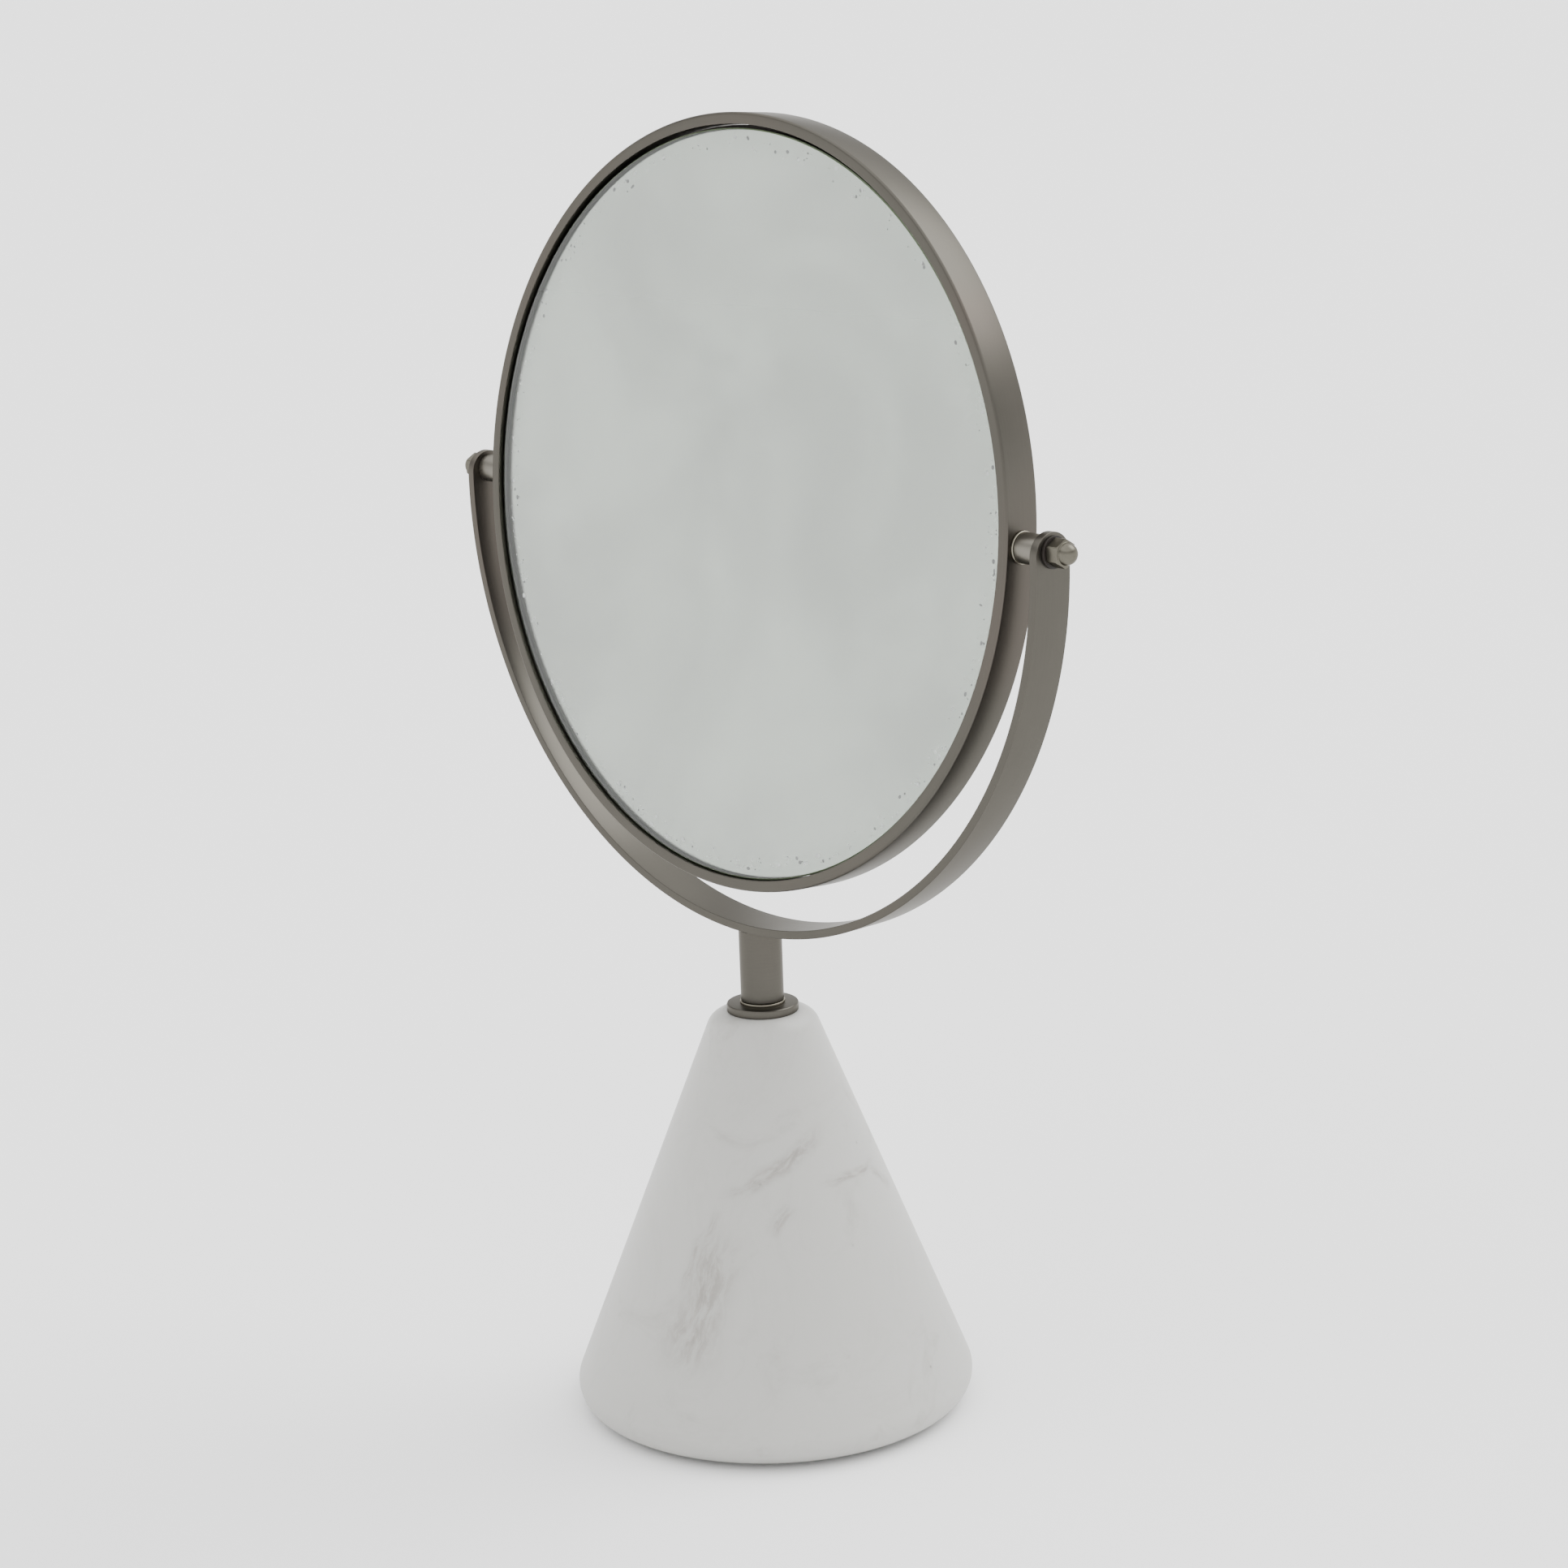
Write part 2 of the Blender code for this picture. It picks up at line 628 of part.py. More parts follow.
def make_cap_nut(name, side, material):
    """The domed hexagonal nut on the pivot stud, its seat at local zero."""
    corner_radius = CAP_FLATS / 2 / math.cos(math.pi / 6)
    chamfer_start = CAP_FLATS / 2 - GAP
    drop = (corner_radius - chamfer_start) * math.tan(NUT_CHAMFER_ANGLE)
    corners = [(0, CAP_HEIGHT, 0)]
    for step in range(1, ARC_STEPS + 1):
        angle = math.pi / 2 * step / ARC_STEPS
        height = CAP_HEIGHT - CAP_DOME_RADIUS + CAP_DOME_RADIUS * math.cos(angle)
        corners.append((CAP_DOME_RADIUS * math.sin(angle), height, 0))
    corners += [
        (CAP_DOME_RADIUS, CAP_HEX_HEIGHT, 0),
        (chamfer_start, CAP_HEX_HEIGHT, 0),
        (corner_radius, CAP_HEX_HEIGHT - drop, 0),
        (corner_radius, 0, 0),
        (STUD_HOLE_RADIUS, 0, 0),
        (STUD_HOLE_RADIUS, CAP_BORE_DEPTH, 0),
        (0, CAP_BORE_DEPTH, 0),
    ]
    nut = turned(name, corners, SMALL_SEGMENTS, material, closed=False)
    on_pivot(nut, side, CAP_SEAT, TILT_AXIS)
    hexagonal = hexagon(name + "_cutter", CAP_FLATS, OVERSHOOT * CAP_HEIGHT)
    on_pivot(hexagonal, side, CAP_SEAT, TILT_AXIS)
    combine(nut, hexagonal, "INTERSECT")
    settle(nut)


clear_scene()
PARTS = new_collection("table_mirror")
CUTTERS = new_collection("cutters")
SWIVEL_AXIS = add_axis("swivel_axis", 0.0, 0.0)
TILT_AXIS = add_axis("tilt_axis", PIVOT_HEIGHT, -REST_TILT, SWIVEL_AXIS)

NICKEL = finish("brushed_nickel", (0.28, 0.26, 0.24), 0.38, 1.0)
BRIGHT_NICKEL = finish("bright_nickel", (0.55, 0.52, 0.46), 0.25, 1.0)
STEEL = finish("zinc_steel", (0.45, 0.46, 0.47), 0.4, 1.0)
MARBLE = finish("pale_marble", (0.53, 0.52, 0.51), 0.4, 0.0)
FELT = finish("grey_felt", (0.12, 0.12, 0.12), 0.95, 0.0)
MIRROR = finish("silvered_glass", (0.75, 0.78, 0.75), 0.03, 1.0)
BOARD = finish("black_board", (0.04, 0.035, 0.03), 0.8, 0.0)
FOAM = finish("white_foam", (0.6, 0.6, 0.58), 0.9, 0.0)
NYLON = finish("dark_nylon", (0.03, 0.028, 0.025), 0.5, 0.0)

make_felt_pad(FELT)
make_marble_base(MARBLE)
make_base_flange(NICKEL)
make_stem(NICKEL)
make_stem_washer(BRIGHT_NICKEL)
make_tie_rod(STEEL)
make_base_washer(STEEL)
make_spring_washer(STEEL)
make_base_nut(STEEL)
make_yoke_strap(NICKEL)
make_mirror_ring(NICKEL)
make_glass("front_glass", -1, MIRROR)
make_glass("back_glass", 1, MIRROR)
make_foam_pad("front_foam_pad", -1, FOAM)
make_foam_pad("back_foam_pad", 1, FOAM)
make_core_board(BOARD)
for hand, direction in (("left", -1), ("right", 1)):
    make_bush("pivot_bush_" + hand, direction, NYLON)
    make_pivot_stud("pivot_stud_" + hand, direction, STEEL)
    make_ring_washer("ring_washer_" + hand, direction, BRIGHT_NICKEL)
    make_spacer("spacer_" + hand, direction, NICKEL)
    make_cap_nut("cap_nut_" + hand, direction, BRIGHT_NICKEL)
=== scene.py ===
"""Finishes for a tilting table mirror on a marble cone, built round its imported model."""

import math

import bmesh
import bpy
from mathutils import Matrix, Vector


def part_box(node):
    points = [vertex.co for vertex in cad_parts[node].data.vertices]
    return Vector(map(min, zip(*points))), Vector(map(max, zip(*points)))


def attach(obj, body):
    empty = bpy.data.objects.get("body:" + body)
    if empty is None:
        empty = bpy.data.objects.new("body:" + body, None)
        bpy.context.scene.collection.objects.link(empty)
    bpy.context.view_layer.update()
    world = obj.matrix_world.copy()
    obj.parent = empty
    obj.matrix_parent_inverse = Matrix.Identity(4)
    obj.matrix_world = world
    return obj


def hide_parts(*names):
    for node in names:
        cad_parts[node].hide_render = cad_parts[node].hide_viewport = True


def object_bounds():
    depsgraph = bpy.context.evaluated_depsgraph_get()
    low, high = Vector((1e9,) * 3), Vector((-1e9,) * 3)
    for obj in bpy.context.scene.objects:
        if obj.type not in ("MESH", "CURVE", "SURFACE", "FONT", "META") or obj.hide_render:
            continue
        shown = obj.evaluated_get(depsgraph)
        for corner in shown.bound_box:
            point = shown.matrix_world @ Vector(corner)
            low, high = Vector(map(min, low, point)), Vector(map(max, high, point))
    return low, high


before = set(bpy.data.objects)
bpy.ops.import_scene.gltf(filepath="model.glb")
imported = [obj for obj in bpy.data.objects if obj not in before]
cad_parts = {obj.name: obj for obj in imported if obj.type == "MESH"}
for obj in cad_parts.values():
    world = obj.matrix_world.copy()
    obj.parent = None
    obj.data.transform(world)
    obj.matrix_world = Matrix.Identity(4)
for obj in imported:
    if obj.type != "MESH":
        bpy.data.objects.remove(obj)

bl_info = {
    "name": "Table Mirror on a Marble Cone",
    "version": (1, 0, 0),
    "blender": (4, 5, 0),
    "location": "3D View > Sidebar > Table Mirror",
    "description": "Builds the fine pieces and finishes of a tilting table mirror",
    "category": "Object",
}

CAD_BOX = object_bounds()
SIDES = (("left", -1), ("right", 1))
FACES = (("front", -1), ("back", 1))
UP = Vector((0.0, 0.0, 1.0))

# How finely round pieces are divided
BIG_TURN = 256
MIDDLE_TURN = 128
SMALL_TURN = 64
FILLET_STEPS = 6
BAR_STEPS = 160                 # along the yoke's bend
BAR_END_STEPS = 20              # along a quarter of its round end
SHARP_ANGLE = math.radians(32.0)
WELD = 1e-6                     # points closer than this are one
NEAR = 1e-4                     # levels and radii closer than this are the same

# How close finished pieces lie to the ones that they touch
CLOSE = 0.00005
GLASS_BOND = 0.00002            # between the silver coat and its glass

# Nuts, washers and threads
HEX = 6
HEX_EDGE = 0.00025              # round of a nut's upright edges
NUT_CHAMFER = math.radians(30.0)
FACE_SHARE = 0.95               # of the flats: where a nut's corners start to fall away
SPLIT_WIDTH = 0.0012
SPLIT_SLANT = math.radians(25.0)
ROD_TURN = 32
ROWS_A_PITCH = 6
THREAD_DEPTH = 0.32             # of a groove, in pitches

# Glass and its worn silver
CLEAR, GROUND, PAINTED_ARRIS = range(3)   # the glass's materials: its faces, edge and front arris, whose lighter colour is a painted highlight
FLAT_SHARE = 0.95               # how squarely a face has to look out to be the glass's own
ARRIS_SHARE = 0.5               # and to be its front arris and not its edge
ARRIS_PAINTED_HIGHLIGHT = 6.0               # painted highlight: the front arris is coloured this much lighter than the edge
FLECK_SEED = 7
FLECK_SIDES = 7
FLECK_DEPTH = 0.00001
FLECK_START = 0.002             # from the rim to the first flecks
FLECK_REACH = 0.0045
FLECK_CROWDING = 2.0            # a higher power crowds the flecks to the rim

# Metals
EDGE_TINT = (0.74, 0.73, 0.71)  # dulls the metals where they are seen at a glance
BRUSH_HAIRS = 2600.0            # how closely the brush's hairs lie, for a metre
BRUSH_BREAKS = 60.0             # how often a hair breaks off, for a metre
SPACER_PAINTED_LIGHT = 2.2              # painted light: the spacers' nickel is coloured this much lighter than the ring's
WASHER_PAINTED_HIGHLIGHT = 2.4              # painted highlight: thin washers are coloured this much lighter than the nuts, for the light on their edges

# Marble
SKIN_WIDTH = 0.3                # the cone's mean radius as a share of its height
# Each vein: where it lies round the cone in degrees and up its height as a share, its heading in
# degrees on the unrolled skin, its half width and half length there, and how strongly it shows.
VEINS = (
    (-35.0, 0.685, 27.0, 0.032, 0.20, 1.0),
    (-50.0, 0.64, 20.0, 0.022, 0.11, 0.80),
    (8.0, 0.632, -3.0, 0.022, 0.13, 0.95),
    (30.0, 0.585, -38.0, 0.018, 0.07, 0.80),
    (-69.0, 0.37, 76.0, 0.090, 0.20, 1.0),
    (-73.0, 0.48, 68.0, 0.024, 0.13, 0.80),
    (-36.0, 0.56, 60.0, 0.034, 0.05, 0.90),
    (115.0, 0.45, 35.0, 0.025, 0.20, 0.85),
    (140.0, 0.72, -30.0, 0.018, 0.12, 0.70),
    (62.0, 0.25, 60.0, 0.045, 0.14, 0.80),
    (-152.0, 0.50, 30.0, 0.026, 0.16, 0.85),
)
VEIN_WANDER = 0.10              # how far a vein strays from its straight line

# Light
SKY_FOOT = 0.08                 # the horizon's glow fades between these two shares of the way up
SKY_TOP = 0.5
# Each lamp: where its light comes from, and how wide it looks
LAMPS = {
    "overhead": ((0.0, 0.0, 1.0), math.radians(115.0)),
    "back": ((0.24, 0.64, 0.73), math.radians(44.0)),
}


# ---------------------------------------------------------------- places and sizes of the frame


def middle(node):
    """Return the middle of a CAD node's box."""
    low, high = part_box(node)
    return (low + high) / 2


def lean_of_mirror():
    """Return how far the mirror's top leans back, from the places of its two glasses."""
    step = middle("back_glass") - middle("front_glass")
    return math.atan2(-step.z, step.y)


PIVOT = middle("mirror_ring")
LEAN = lean_of_mirror()
TILTED = Matrix.Translation(PIVOT) @ Matrix.Rotation(-LEAN, 4, "X")


def placed(origin, direction):
    """Return a matrix that lays local Z along a direction from an origin."""
    turn = Vector(direction).to_track_quat("Z", "Y").to_matrix().to_4x4()
    return Matrix.Translation(origin) @ turn


def on_stem():
    """Return the matrix of a piece that stands on the stem's axis."""
    return Matrix.Identity(4)


def on_pivot(side):
    """Return the matrix of a piece on the pivot axis, local Z pointing outwards."""
    return placed(PIVOT, (side, 0.0, 0.0))


def on_glass(face):
    """Return the matrix of a disc in the mirror, local Z pointing out of its front or back."""
    return TILTED @ placed((0.0, 0.0, 0.0), (0.0, face, 0.0))


class Turned:
    """The radii and the two ends of a CAD node about local Z of a matrix."""

    def __init__(self, node, matrix):
        inverse = matrix.inverted()
        points = [inverse @ vertex.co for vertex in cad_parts[node].data.vertices]
        radii = [math.hypot(point.x, point.y) for point in points]
        self.bore = min(radii)
        self.radius = max(radii)
        self.low = min(point.z for point in points)
        self.high = max(point.z for point in points)
        self.points = list(zip(radii, (point.z for point in points)))

    def widest_at(self, height):
        """Return the largest radius among the points at a height."""
        return max(radius for radius, level in self.points if abs(level - height) < NEAR)

    def narrowest_at(self, height):
        """Return the smallest radius among the points at a height."""
        return min(radius for radius, level in self.points if abs(level - height) < NEAR)

    def span_of(self, radius):
        """Return the lowest and the highest place where the node has a radius."""
        levels = [level for wide, level in self.points if abs(wide - radius) < NEAR]
        return min(levels), max(levels)


# ---------------------------------------------------------------------------- sizes and colours


class MirrorSizes(bpy.types.PropertyGroup):
    """Fine sizes that the frame doesn't hold."""

    shoulder_rounding: bpy.props.FloatProperty(
        name="Shoulder rounding", description="Round of the marble's top edge",
        default=0.0065, min=0.001, unit="LENGTH",
    )
    foot_rounding: bpy.props.FloatProperty(
        name="Foot rounding", description="Round of the marble's bottom edge",
        default=0.0079, min=0.001, unit="LENGTH",
    )
    ring_outer_edge: bpy.props.FloatProperty(
        name="Ring's outer edge", description="Round of the ring's outer edges",
        default=0.0009, min=0.0001, unit="LENGTH",
    )
    ring_inner_edge: bpy.props.FloatProperty(
        name="Ring's inner edge", description="Round of the ring's edges by the glass",
        default=0.0003, min=0.0001, unit="LENGTH",
    )
    bar_edge: bpy.props.FloatProperty(
        name="Bar's edge", description="Round of the yoke bar's long edges",
        default=0.0002, min=0.0001, unit="LENGTH",
    )
    small_edge: bpy.props.FloatProperty(
        name="Small edge", description="Round of the edges of turned fittings",
        default=0.00025, min=0.0001, unit="LENGTH",
    )
    glass_arris: bpy.props.FloatProperty(
        name="Glass arris", description="Width of the ground edge round each face of the glass",
        default=0.0004, min=0.0001, unit="LENGTH",
    )
    silver_thickness: bpy.props.FloatProperty(
        name="Silver thickness", description="Thickness of the coat behind each glass",
        default=0.00006, min=0.00001, unit="LENGTH",
    )
    rod_pitch: bpy.props.FloatProperty(
        name="Rod pitch", description="Pitch of the tie rod's thread",
        default=0.00125, min=0.0005, unit="LENGTH",
    )
    stud_pitch: bpy.props.FloatProperty(
        name="Stud pitch", description="Pitch of the pivot studs' thread",
        default=0.0008, min=0.0005, unit="LENGTH",
    )
    fleck_count: bpy.props.IntProperty(
        name="Flecks", description="Worn flecks round the edge of each silver coat",
        default=420, min=0,
    )
    fleck_size: bpy.props.FloatProperty(
        name="Fleck size", description="Usual width of a fleck",
        default=0.0009, min=0.0001, unit="LENGTH",
    )


class MirrorColours(bpy.types.PropertyGroup):
    """Colours of the finishes."""

    marble: bpy.props.FloatVectorProperty(
        name="Marble", description="Ground of the stone",
        default=(0.40, 0.398, 0.377), min=0.0, max=1.0, subtype="COLOR",
    )
    vein: bpy.props.FloatVectorProperty(
        name="Vein", description="Veins of the stone",
        default=(0.255, 0.243, 0.222), min=0.0, max=1.0, subtype="COLOR",
    )
    nickel: bpy.props.FloatVectorProperty(
        name="Satin nickel", description="Ring, yoke, stem, flange and spacers",
        default=(0.0765, 0.0720, 0.0620), min=0.0, max=1.0, subtype="COLOR",
    )
    bright_nickel: bpy.props.FloatVectorProperty(
        name="Bright nickel", description="Cap nuts and thin washers",
        default=(0.112, 0.105, 0.085), min=0.0, max=1.0, subtype="COLOR",
    )
    zinc: bpy.props.FloatVectorProperty(
        name="Zinc", description="Tie rod, nut and washers under the marble",
        default=(0.45, 0.46, 0.47), min=0.0, max=1.0, subtype="COLOR",
    )
    silver: bpy.props.FloatVectorProperty(
        name="Silver", description="Coat behind the glass",
        default=(0.356, 0.376, 0.346), min=0.0, max=1.0, subtype="COLOR",
    )
    glass: bpy.props.FloatVectorProperty(
        name="Glass", description="Tint of the glass",
        default=(0.955, 0.975, 0.96), min=0.0, max=1.0, subtype="COLOR",
    )
    ground_glass: bpy.props.FloatVectorProperty(
        name="Ground glass", description="Edge of the glass",
        default=(0.021, 0.027, 0.016), min=0.0, max=1.0, subtype="COLOR",
    )
    nylon: bpy.props.FloatVectorProperty(
        name="Nylon", description="Bushes in the yoke",
        default=(0.014, 0.011, 0.009), min=0.0, max=1.0, subtype="COLOR",
    )
    felt: bpy.props.FloatVectorProperty(
        name="Felt", description="Disc under the marble",
        default=(0.12, 0.12, 0.12), min=0.0, max=1.0, subtype="COLOR",
    )
    board: bpy.props.FloatVectorProperty(
        name="Board", description="Core between the glasses",
        default=(0.04, 0.035, 0.03), min=0.0, max=1.0, subtype="COLOR",
    )
    foam: bpy.props.FloatVectorProperty(
        name="Foam", description="Adhesive pads on the core",
        default=(0.6, 0.6, 0.58), min=0.0, max=1.0, subtype="COLOR",
    )


class MirrorStage(bpy.types.PropertyGroup):
    """Floor, lights and camera."""

    floor_radius: bpy.props.FloatProperty(
        name="Floor radius", description="Radius of the floor",
        default=30.0, min=1.0, unit="LENGTH",
    )
    floor_colour: bpy.props.FloatVectorProperty(
        name="Floor colour", description="Colour of the floor",
        default=(0.90, 0.90, 0.90), min=0.0, max=1.0, subtype="COLOR",
    )
    sky_strength: bpy.props.FloatProperty(
        name="Sky strength", description="Even light from above", default=0.8, min=0.0,
    )
    horizon_strength: bpy.props.FloatProperty(
        name="Horizon strength", description="Even light from near the floor", default=2.4, min=0.0,
    )
    overhead_strength: bpy.props.FloatProperty(
        name="Overhead strength", description="Light of the broad overhead lamp",
        default=4.2, min=0.0,
    )
    back_strength: bpy.props.FloatProperty(
        name="Back strength", description="Light of the lamp behind and above", default=2.0, min=0.0,
    )
    azimuth: bpy.props.FloatProperty(
        name="Azimuth", description="Camera's turn round the object, from the front to its right",
        default=math.radians(48.439), subtype="ANGLE",
    )
    elevation: bpy.props.FloatProperty(
        name="Elevation", description="Camera's height above the horizon",
        default=math.radians(13.717), subtype="ANGLE",
    )
    roll: bpy.props.FloatProperty(
        name="Roll", description="Camera's turn about its own line of sight",
        default=math.radians(-1.963), subtype="ANGLE",
    )
    distance: bpy.props.FloatProperty(
        name="Distance", description="From the camera to its target",
        default=1.20453, min=0.1, unit="LENGTH",
    )
    target: bpy.props.FloatVectorProperty(
        name="Target", description="Camera's target, measured from the pivot",
        default=(0.00638, 0.00719, -0.09279), subtype="TRANSLATION",
    )
    lens: bpy.props.FloatProperty(
        name="Lens", description="Focal length in millimetres", default=84.164, min=10.0,
    )


# ------------------------------------------------------------------------------- node expressions


class Signal:
    """A socket of a node tree. Arithmetic on it adds Math nodes."""

    def __init__(self, tree, socket=None):
        self.tree = tree
        self.socket = socket

    def node(self, kind, settings=None, inputs=None, output=0):
        """Add a node, set it up, feed its sockets with values or links, and return an output."""
        made = self.tree.nodes.new(kind)
        for name, value in (settings or {}).items():
            if name == "stops":
                set_stops(made.color_ramp, value)
            else:
                setattr(made, name, value)
        for name, value in (inputs or {}).items():
            if isinstance(value, Signal):
                self.tree.links.new(value.socket, made.inputs[name])
            else:
                made.inputs[name].default_value = value
        return Signal(self.tree, made.outputs[output] if made.outputs else None)

    def other(self, output):
        """Return another output of the same node."""
        return Signal(self.tree, self.socket.node.outputs[output])

    def math(self, operation, *values):
        """Add a Math node."""
        return self.node("ShaderNodeMath", {"operation": operation}, dict(enumerate(values)))

    def __add__(self, other):
        return self.math("ADD", self, other)

    def __sub__(self, other):
        return self.math("SUBTRACT", self, other)

    def __rsub__(self, other):
        return self.math("SUBTRACT", other, self)

    def __mul__(self, other):
        return self.math("MULTIPLY", self, other)

    def __truediv__(self, other):
        return self.math("DIVIDE", self, other)

    __radd__ = __add__
    __rmul__ = __mul__

    def rise(self, start, end):
        """Return 0 before start and 1 after end, with a smooth step between."""
        return self.node(
            "ShaderNodeMapRange", {"interpolation_type": "SMOOTHSTEP"},
            {"Value": self, "From Min": start, "From Max": end},
        )


def set_stops(ramp, stops):
    """Give a colour ramp its stops, as (position, grey or colour)."""
    while len(ramp.elements) < len(stops):
        ramp.elements.new(0.5)
    for element, (position, value) in zip(ramp.elements, stops):
        element.position = position
        colour = (value, value, value) if isinstance(value, float) else tuple(value)
        element.color = (*colour, 1.0)


class Finish:
    """A material under construction: a Principled shader and the nodes that feed it."""

    def __init__(self, name, matrix=None):
        self.material = bpy.data.materials.new(name)
        self.material.use_nodes = True
        self.tree = self.material.node_tree
        self.shader = self.tree.nodes["Principled BSDF"]
        self.blank = Signal(self.tree)
        place = self.blank.node("ShaderNodeTexCoord", output="Object")
        if matrix is not None:
            inverse = matrix.inverted()
            place = self.blank.node(
                "ShaderNodeMapping", {"vector_type": "POINT"},
                {
                    "Vector": place,
                    "Location": inverse.to_translation(),
                    "Rotation": inverse.to_euler(),
                },
            )
        self.place = place

    def set(self, **values):
        """Set or feed the shader's sockets; an underscore in a name stands for a space."""
        for name, value in values.items():
            socket = self.shader.inputs[name.replace("_", " ")]
            if isinstance(value, Signal):
                self.tree.links.new(value.socket, socket)
            elif socket.type == "RGBA":
                socket.default_value = (*value, 1.0)
            else:
                socket.default_value = value
        return self.material

    def axes(self):
        """Return the three coordinates apart."""
        first = self.blank.node("ShaderNodeSeparateXYZ", None, {"Vector": self.place}, "X")
        return first, first.other("Y"), first.other("Z")

    def vector(self, x, y, z):
        """Join three numbers or signals."""
        return self.blank.node("ShaderNodeCombineXYZ", None, {"X": x, "Y": y, "Z": z})

    def noise(self, scale, detail=2.0, vector=None, roughness=0.5, distortion=0.0):
        """Add a noise, from 0 to 1, by default on the piece's own place."""
        return self.blank.node(
            "ShaderNodeTexNoise", None,
            {
                "Vector": self.place if vector is None else vector, "Scale": scale,
                "Detail": detail, "Roughness": roughness, "Distortion": distortion,
            },
        )

    def blend(self, share, low, high):
        """Mix two colours by a share."""
        first, second = (
            value if isinstance(value, Signal) else (*value, 1.0) for value in (low, high)
        )
        return self.blank.node(
            "ShaderNodeMix", {"data_type": "RGBA"}, {"Factor": share, 6: first, 7: second}, 2
        )

    def bump(self, height, distance, strength=1.0):
        """Turn a height from 0 to 1 into a normal; distance is in metres."""
        return self.blank.node(
            "ShaderNodeBump", None, {"Height": height, "Distance": distance, "Strength": strength}
        )


def shaded(colour, share):
    """Return a colour made darker, or lighter when the share is over 1."""
    return tuple(min(1.0, channel * share) for channel in colour)


# --------------------------------------------------------------------------------- the finishes


def marble_finish(colours, cone):
    """Pale honed marble with soft grey-brown veins and a few pits."""
    finish = Finish("pale_marble")
    x, y, z = finish.axes()
    cloud = finish.noise(9.0, 4.0, roughness=0.55, distortion=0.6)
    grain = finish.noise(420.0, 2.0)
    warp = finish.noise(26.0, 3.0, roughness=0.6)
    ground = finish.blend(
        cloud.rise(0.3, 0.72) * 0.55, tuple(colours.marble), shaded(colours.marble, 0.93)
    )
    veins = vein_mask(finish, x, y, z, warp, cone)
    ground = finish.blend(veins, ground, tuple(colours.vein))
    ground = finish.blend(grain.rise(0.45, 0.75) * 0.10, ground, shaded(colours.marble, 1.12))
    pits = finish.blank.node(
        "ShaderNodeTexVoronoi", None, {"Vector": finish.place, "Scale": 70.0}, "Distance"
    )
    rare = finish.noise(55.0, 0.0).rise(0.60, 0.66)
    pit = (1.0 - pits.rise(0.035, 0.075)) * rare
    ground = finish.blend(pit * 0.75, ground, shaded(colours.vein, 0.35))
    return finish.set(
        Base_Color=ground,
        Roughness=0.36 + cloud * 0.14,
        Normal=finish.bump(grain * 0.3 - pit, 0.00012, 0.5),
        Subsurface_Weight=0.12,
        Subsurface_Radius=(0.006, 0.005, 0.004),
        Subsurface_Scale=0.5,
    )


def vein_mask(finish, x, y, z, warp, cone):
    """Return how strongly the veins show on the cone's skin, seen as if it were unrolled."""
    turn = finish.blank.math("ARCTAN2", y, x)
    height = (z - cone.low) / (cone.high - cone.low)
    mask = None
    for angle, level, heading, width, length, strength in VEINS:
        forth, up = math.cos(math.radians(heading)), math.sin(math.radians(heading))
        aside = (turn - math.radians(angle)) * SKIN_WIDTH
        climb = height - level
        along = aside * forth + climb * up
        across = climb * forth - aside * up + (warp - 0.5) * VEIN_WANDER
        grain = finish.vector(along * 14.0, across * 44.0, angle)
        fibre = finish.noise(1.0, 5.0, grain, roughness=0.66, distortion=0.3).rise(0.36, 0.62)
        edge = 1.0 - finish.blank.math("ABSOLUTE", across).rise(0.0, width)
        end = 1.0 - finish.blank.math("ABSOLUTE", along).rise(length * 0.35, length)
        vein = edge * end * (0.22 + 0.78 * fibre) * strength
        mask = vein if mask is None else finish.blank.math("MAXIMUM", mask, vein)
    smudge = finish.noise(34.0, 5.0, roughness=0.66, distortion=0.9).rise(0.55, 0.74)
    everywhere = finish.noise(13.0, 5.0, roughness=0.62, distortion=1.6)
    thin = 1.0 - finish.blank.math("ABSOLUTE", everywhere - 0.5).rise(0.0, 0.03)
    return finish.blank.math("MAXIMUM", mask, smudge * 0.42 + thin * 0.07)


def satin_nickel(name, colour, matrix, reach, roughness=0.34):
    """Satin nickel brushed round local Z at a reach from it, faintly pinkish and mottled."""
    finish = Finish(name, matrix)
    x, y, z = finish.axes()
    turn = finish.blank.math("ARCTAN2", y, x)
    radius = finish.blank.node(
        "ShaderNodeVectorMath", {"operation": "LENGTH"}, {0: finish.vector(x, y, 0.0)}, "Value"
    )
    brushed = finish.vector(
        turn * (reach * BRUSH_BREAKS), radius * BRUSH_HAIRS, z * BRUSH_HAIRS
    )
    hair = finish.noise(1.0, 3.0, brushed, roughness=0.6)
    mottle = finish.noise(38.0, 3.0, roughness=0.6)
    stain = finish.noise(11.0, 2.0, distortion=0.4)
    tone = finish.blend(mottle.rise(0.3, 0.7), shaded(colour, 0.94), tuple(colour))
    pink = (colour[0] * 1.12, colour[1], colour[2])
    tone = finish.blend(stain.rise(0.45, 0.7) * 0.5, tone, pink)
    tone = finish.blend(hair.rise(0.35, 0.75) * 0.22, tone, shaded(colour, 1.18))
    speck = finish.blank.node(
        "ShaderNodeTexVoronoi", None, {"Vector": finish.place, "Scale": 55.0}, "Distance"
    )
    rare = finish.noise(31.0, 0.0).rise(0.62, 0.66)
    spot = (1.0 - speck.rise(0.02, 0.045)) * rare
    tone = finish.blend(spot * 0.6, tone, shaded(colour, 0.35))
    return finish.set(
        Base_Color=tone,
        Metallic=1.0,
        Specular_Tint=EDGE_TINT,
        Roughness=roughness - 0.05 + mottle * 0.08 + hair * 0.06,
        Normal=finish.bump(hair, 0.00002, 0.35),
    )


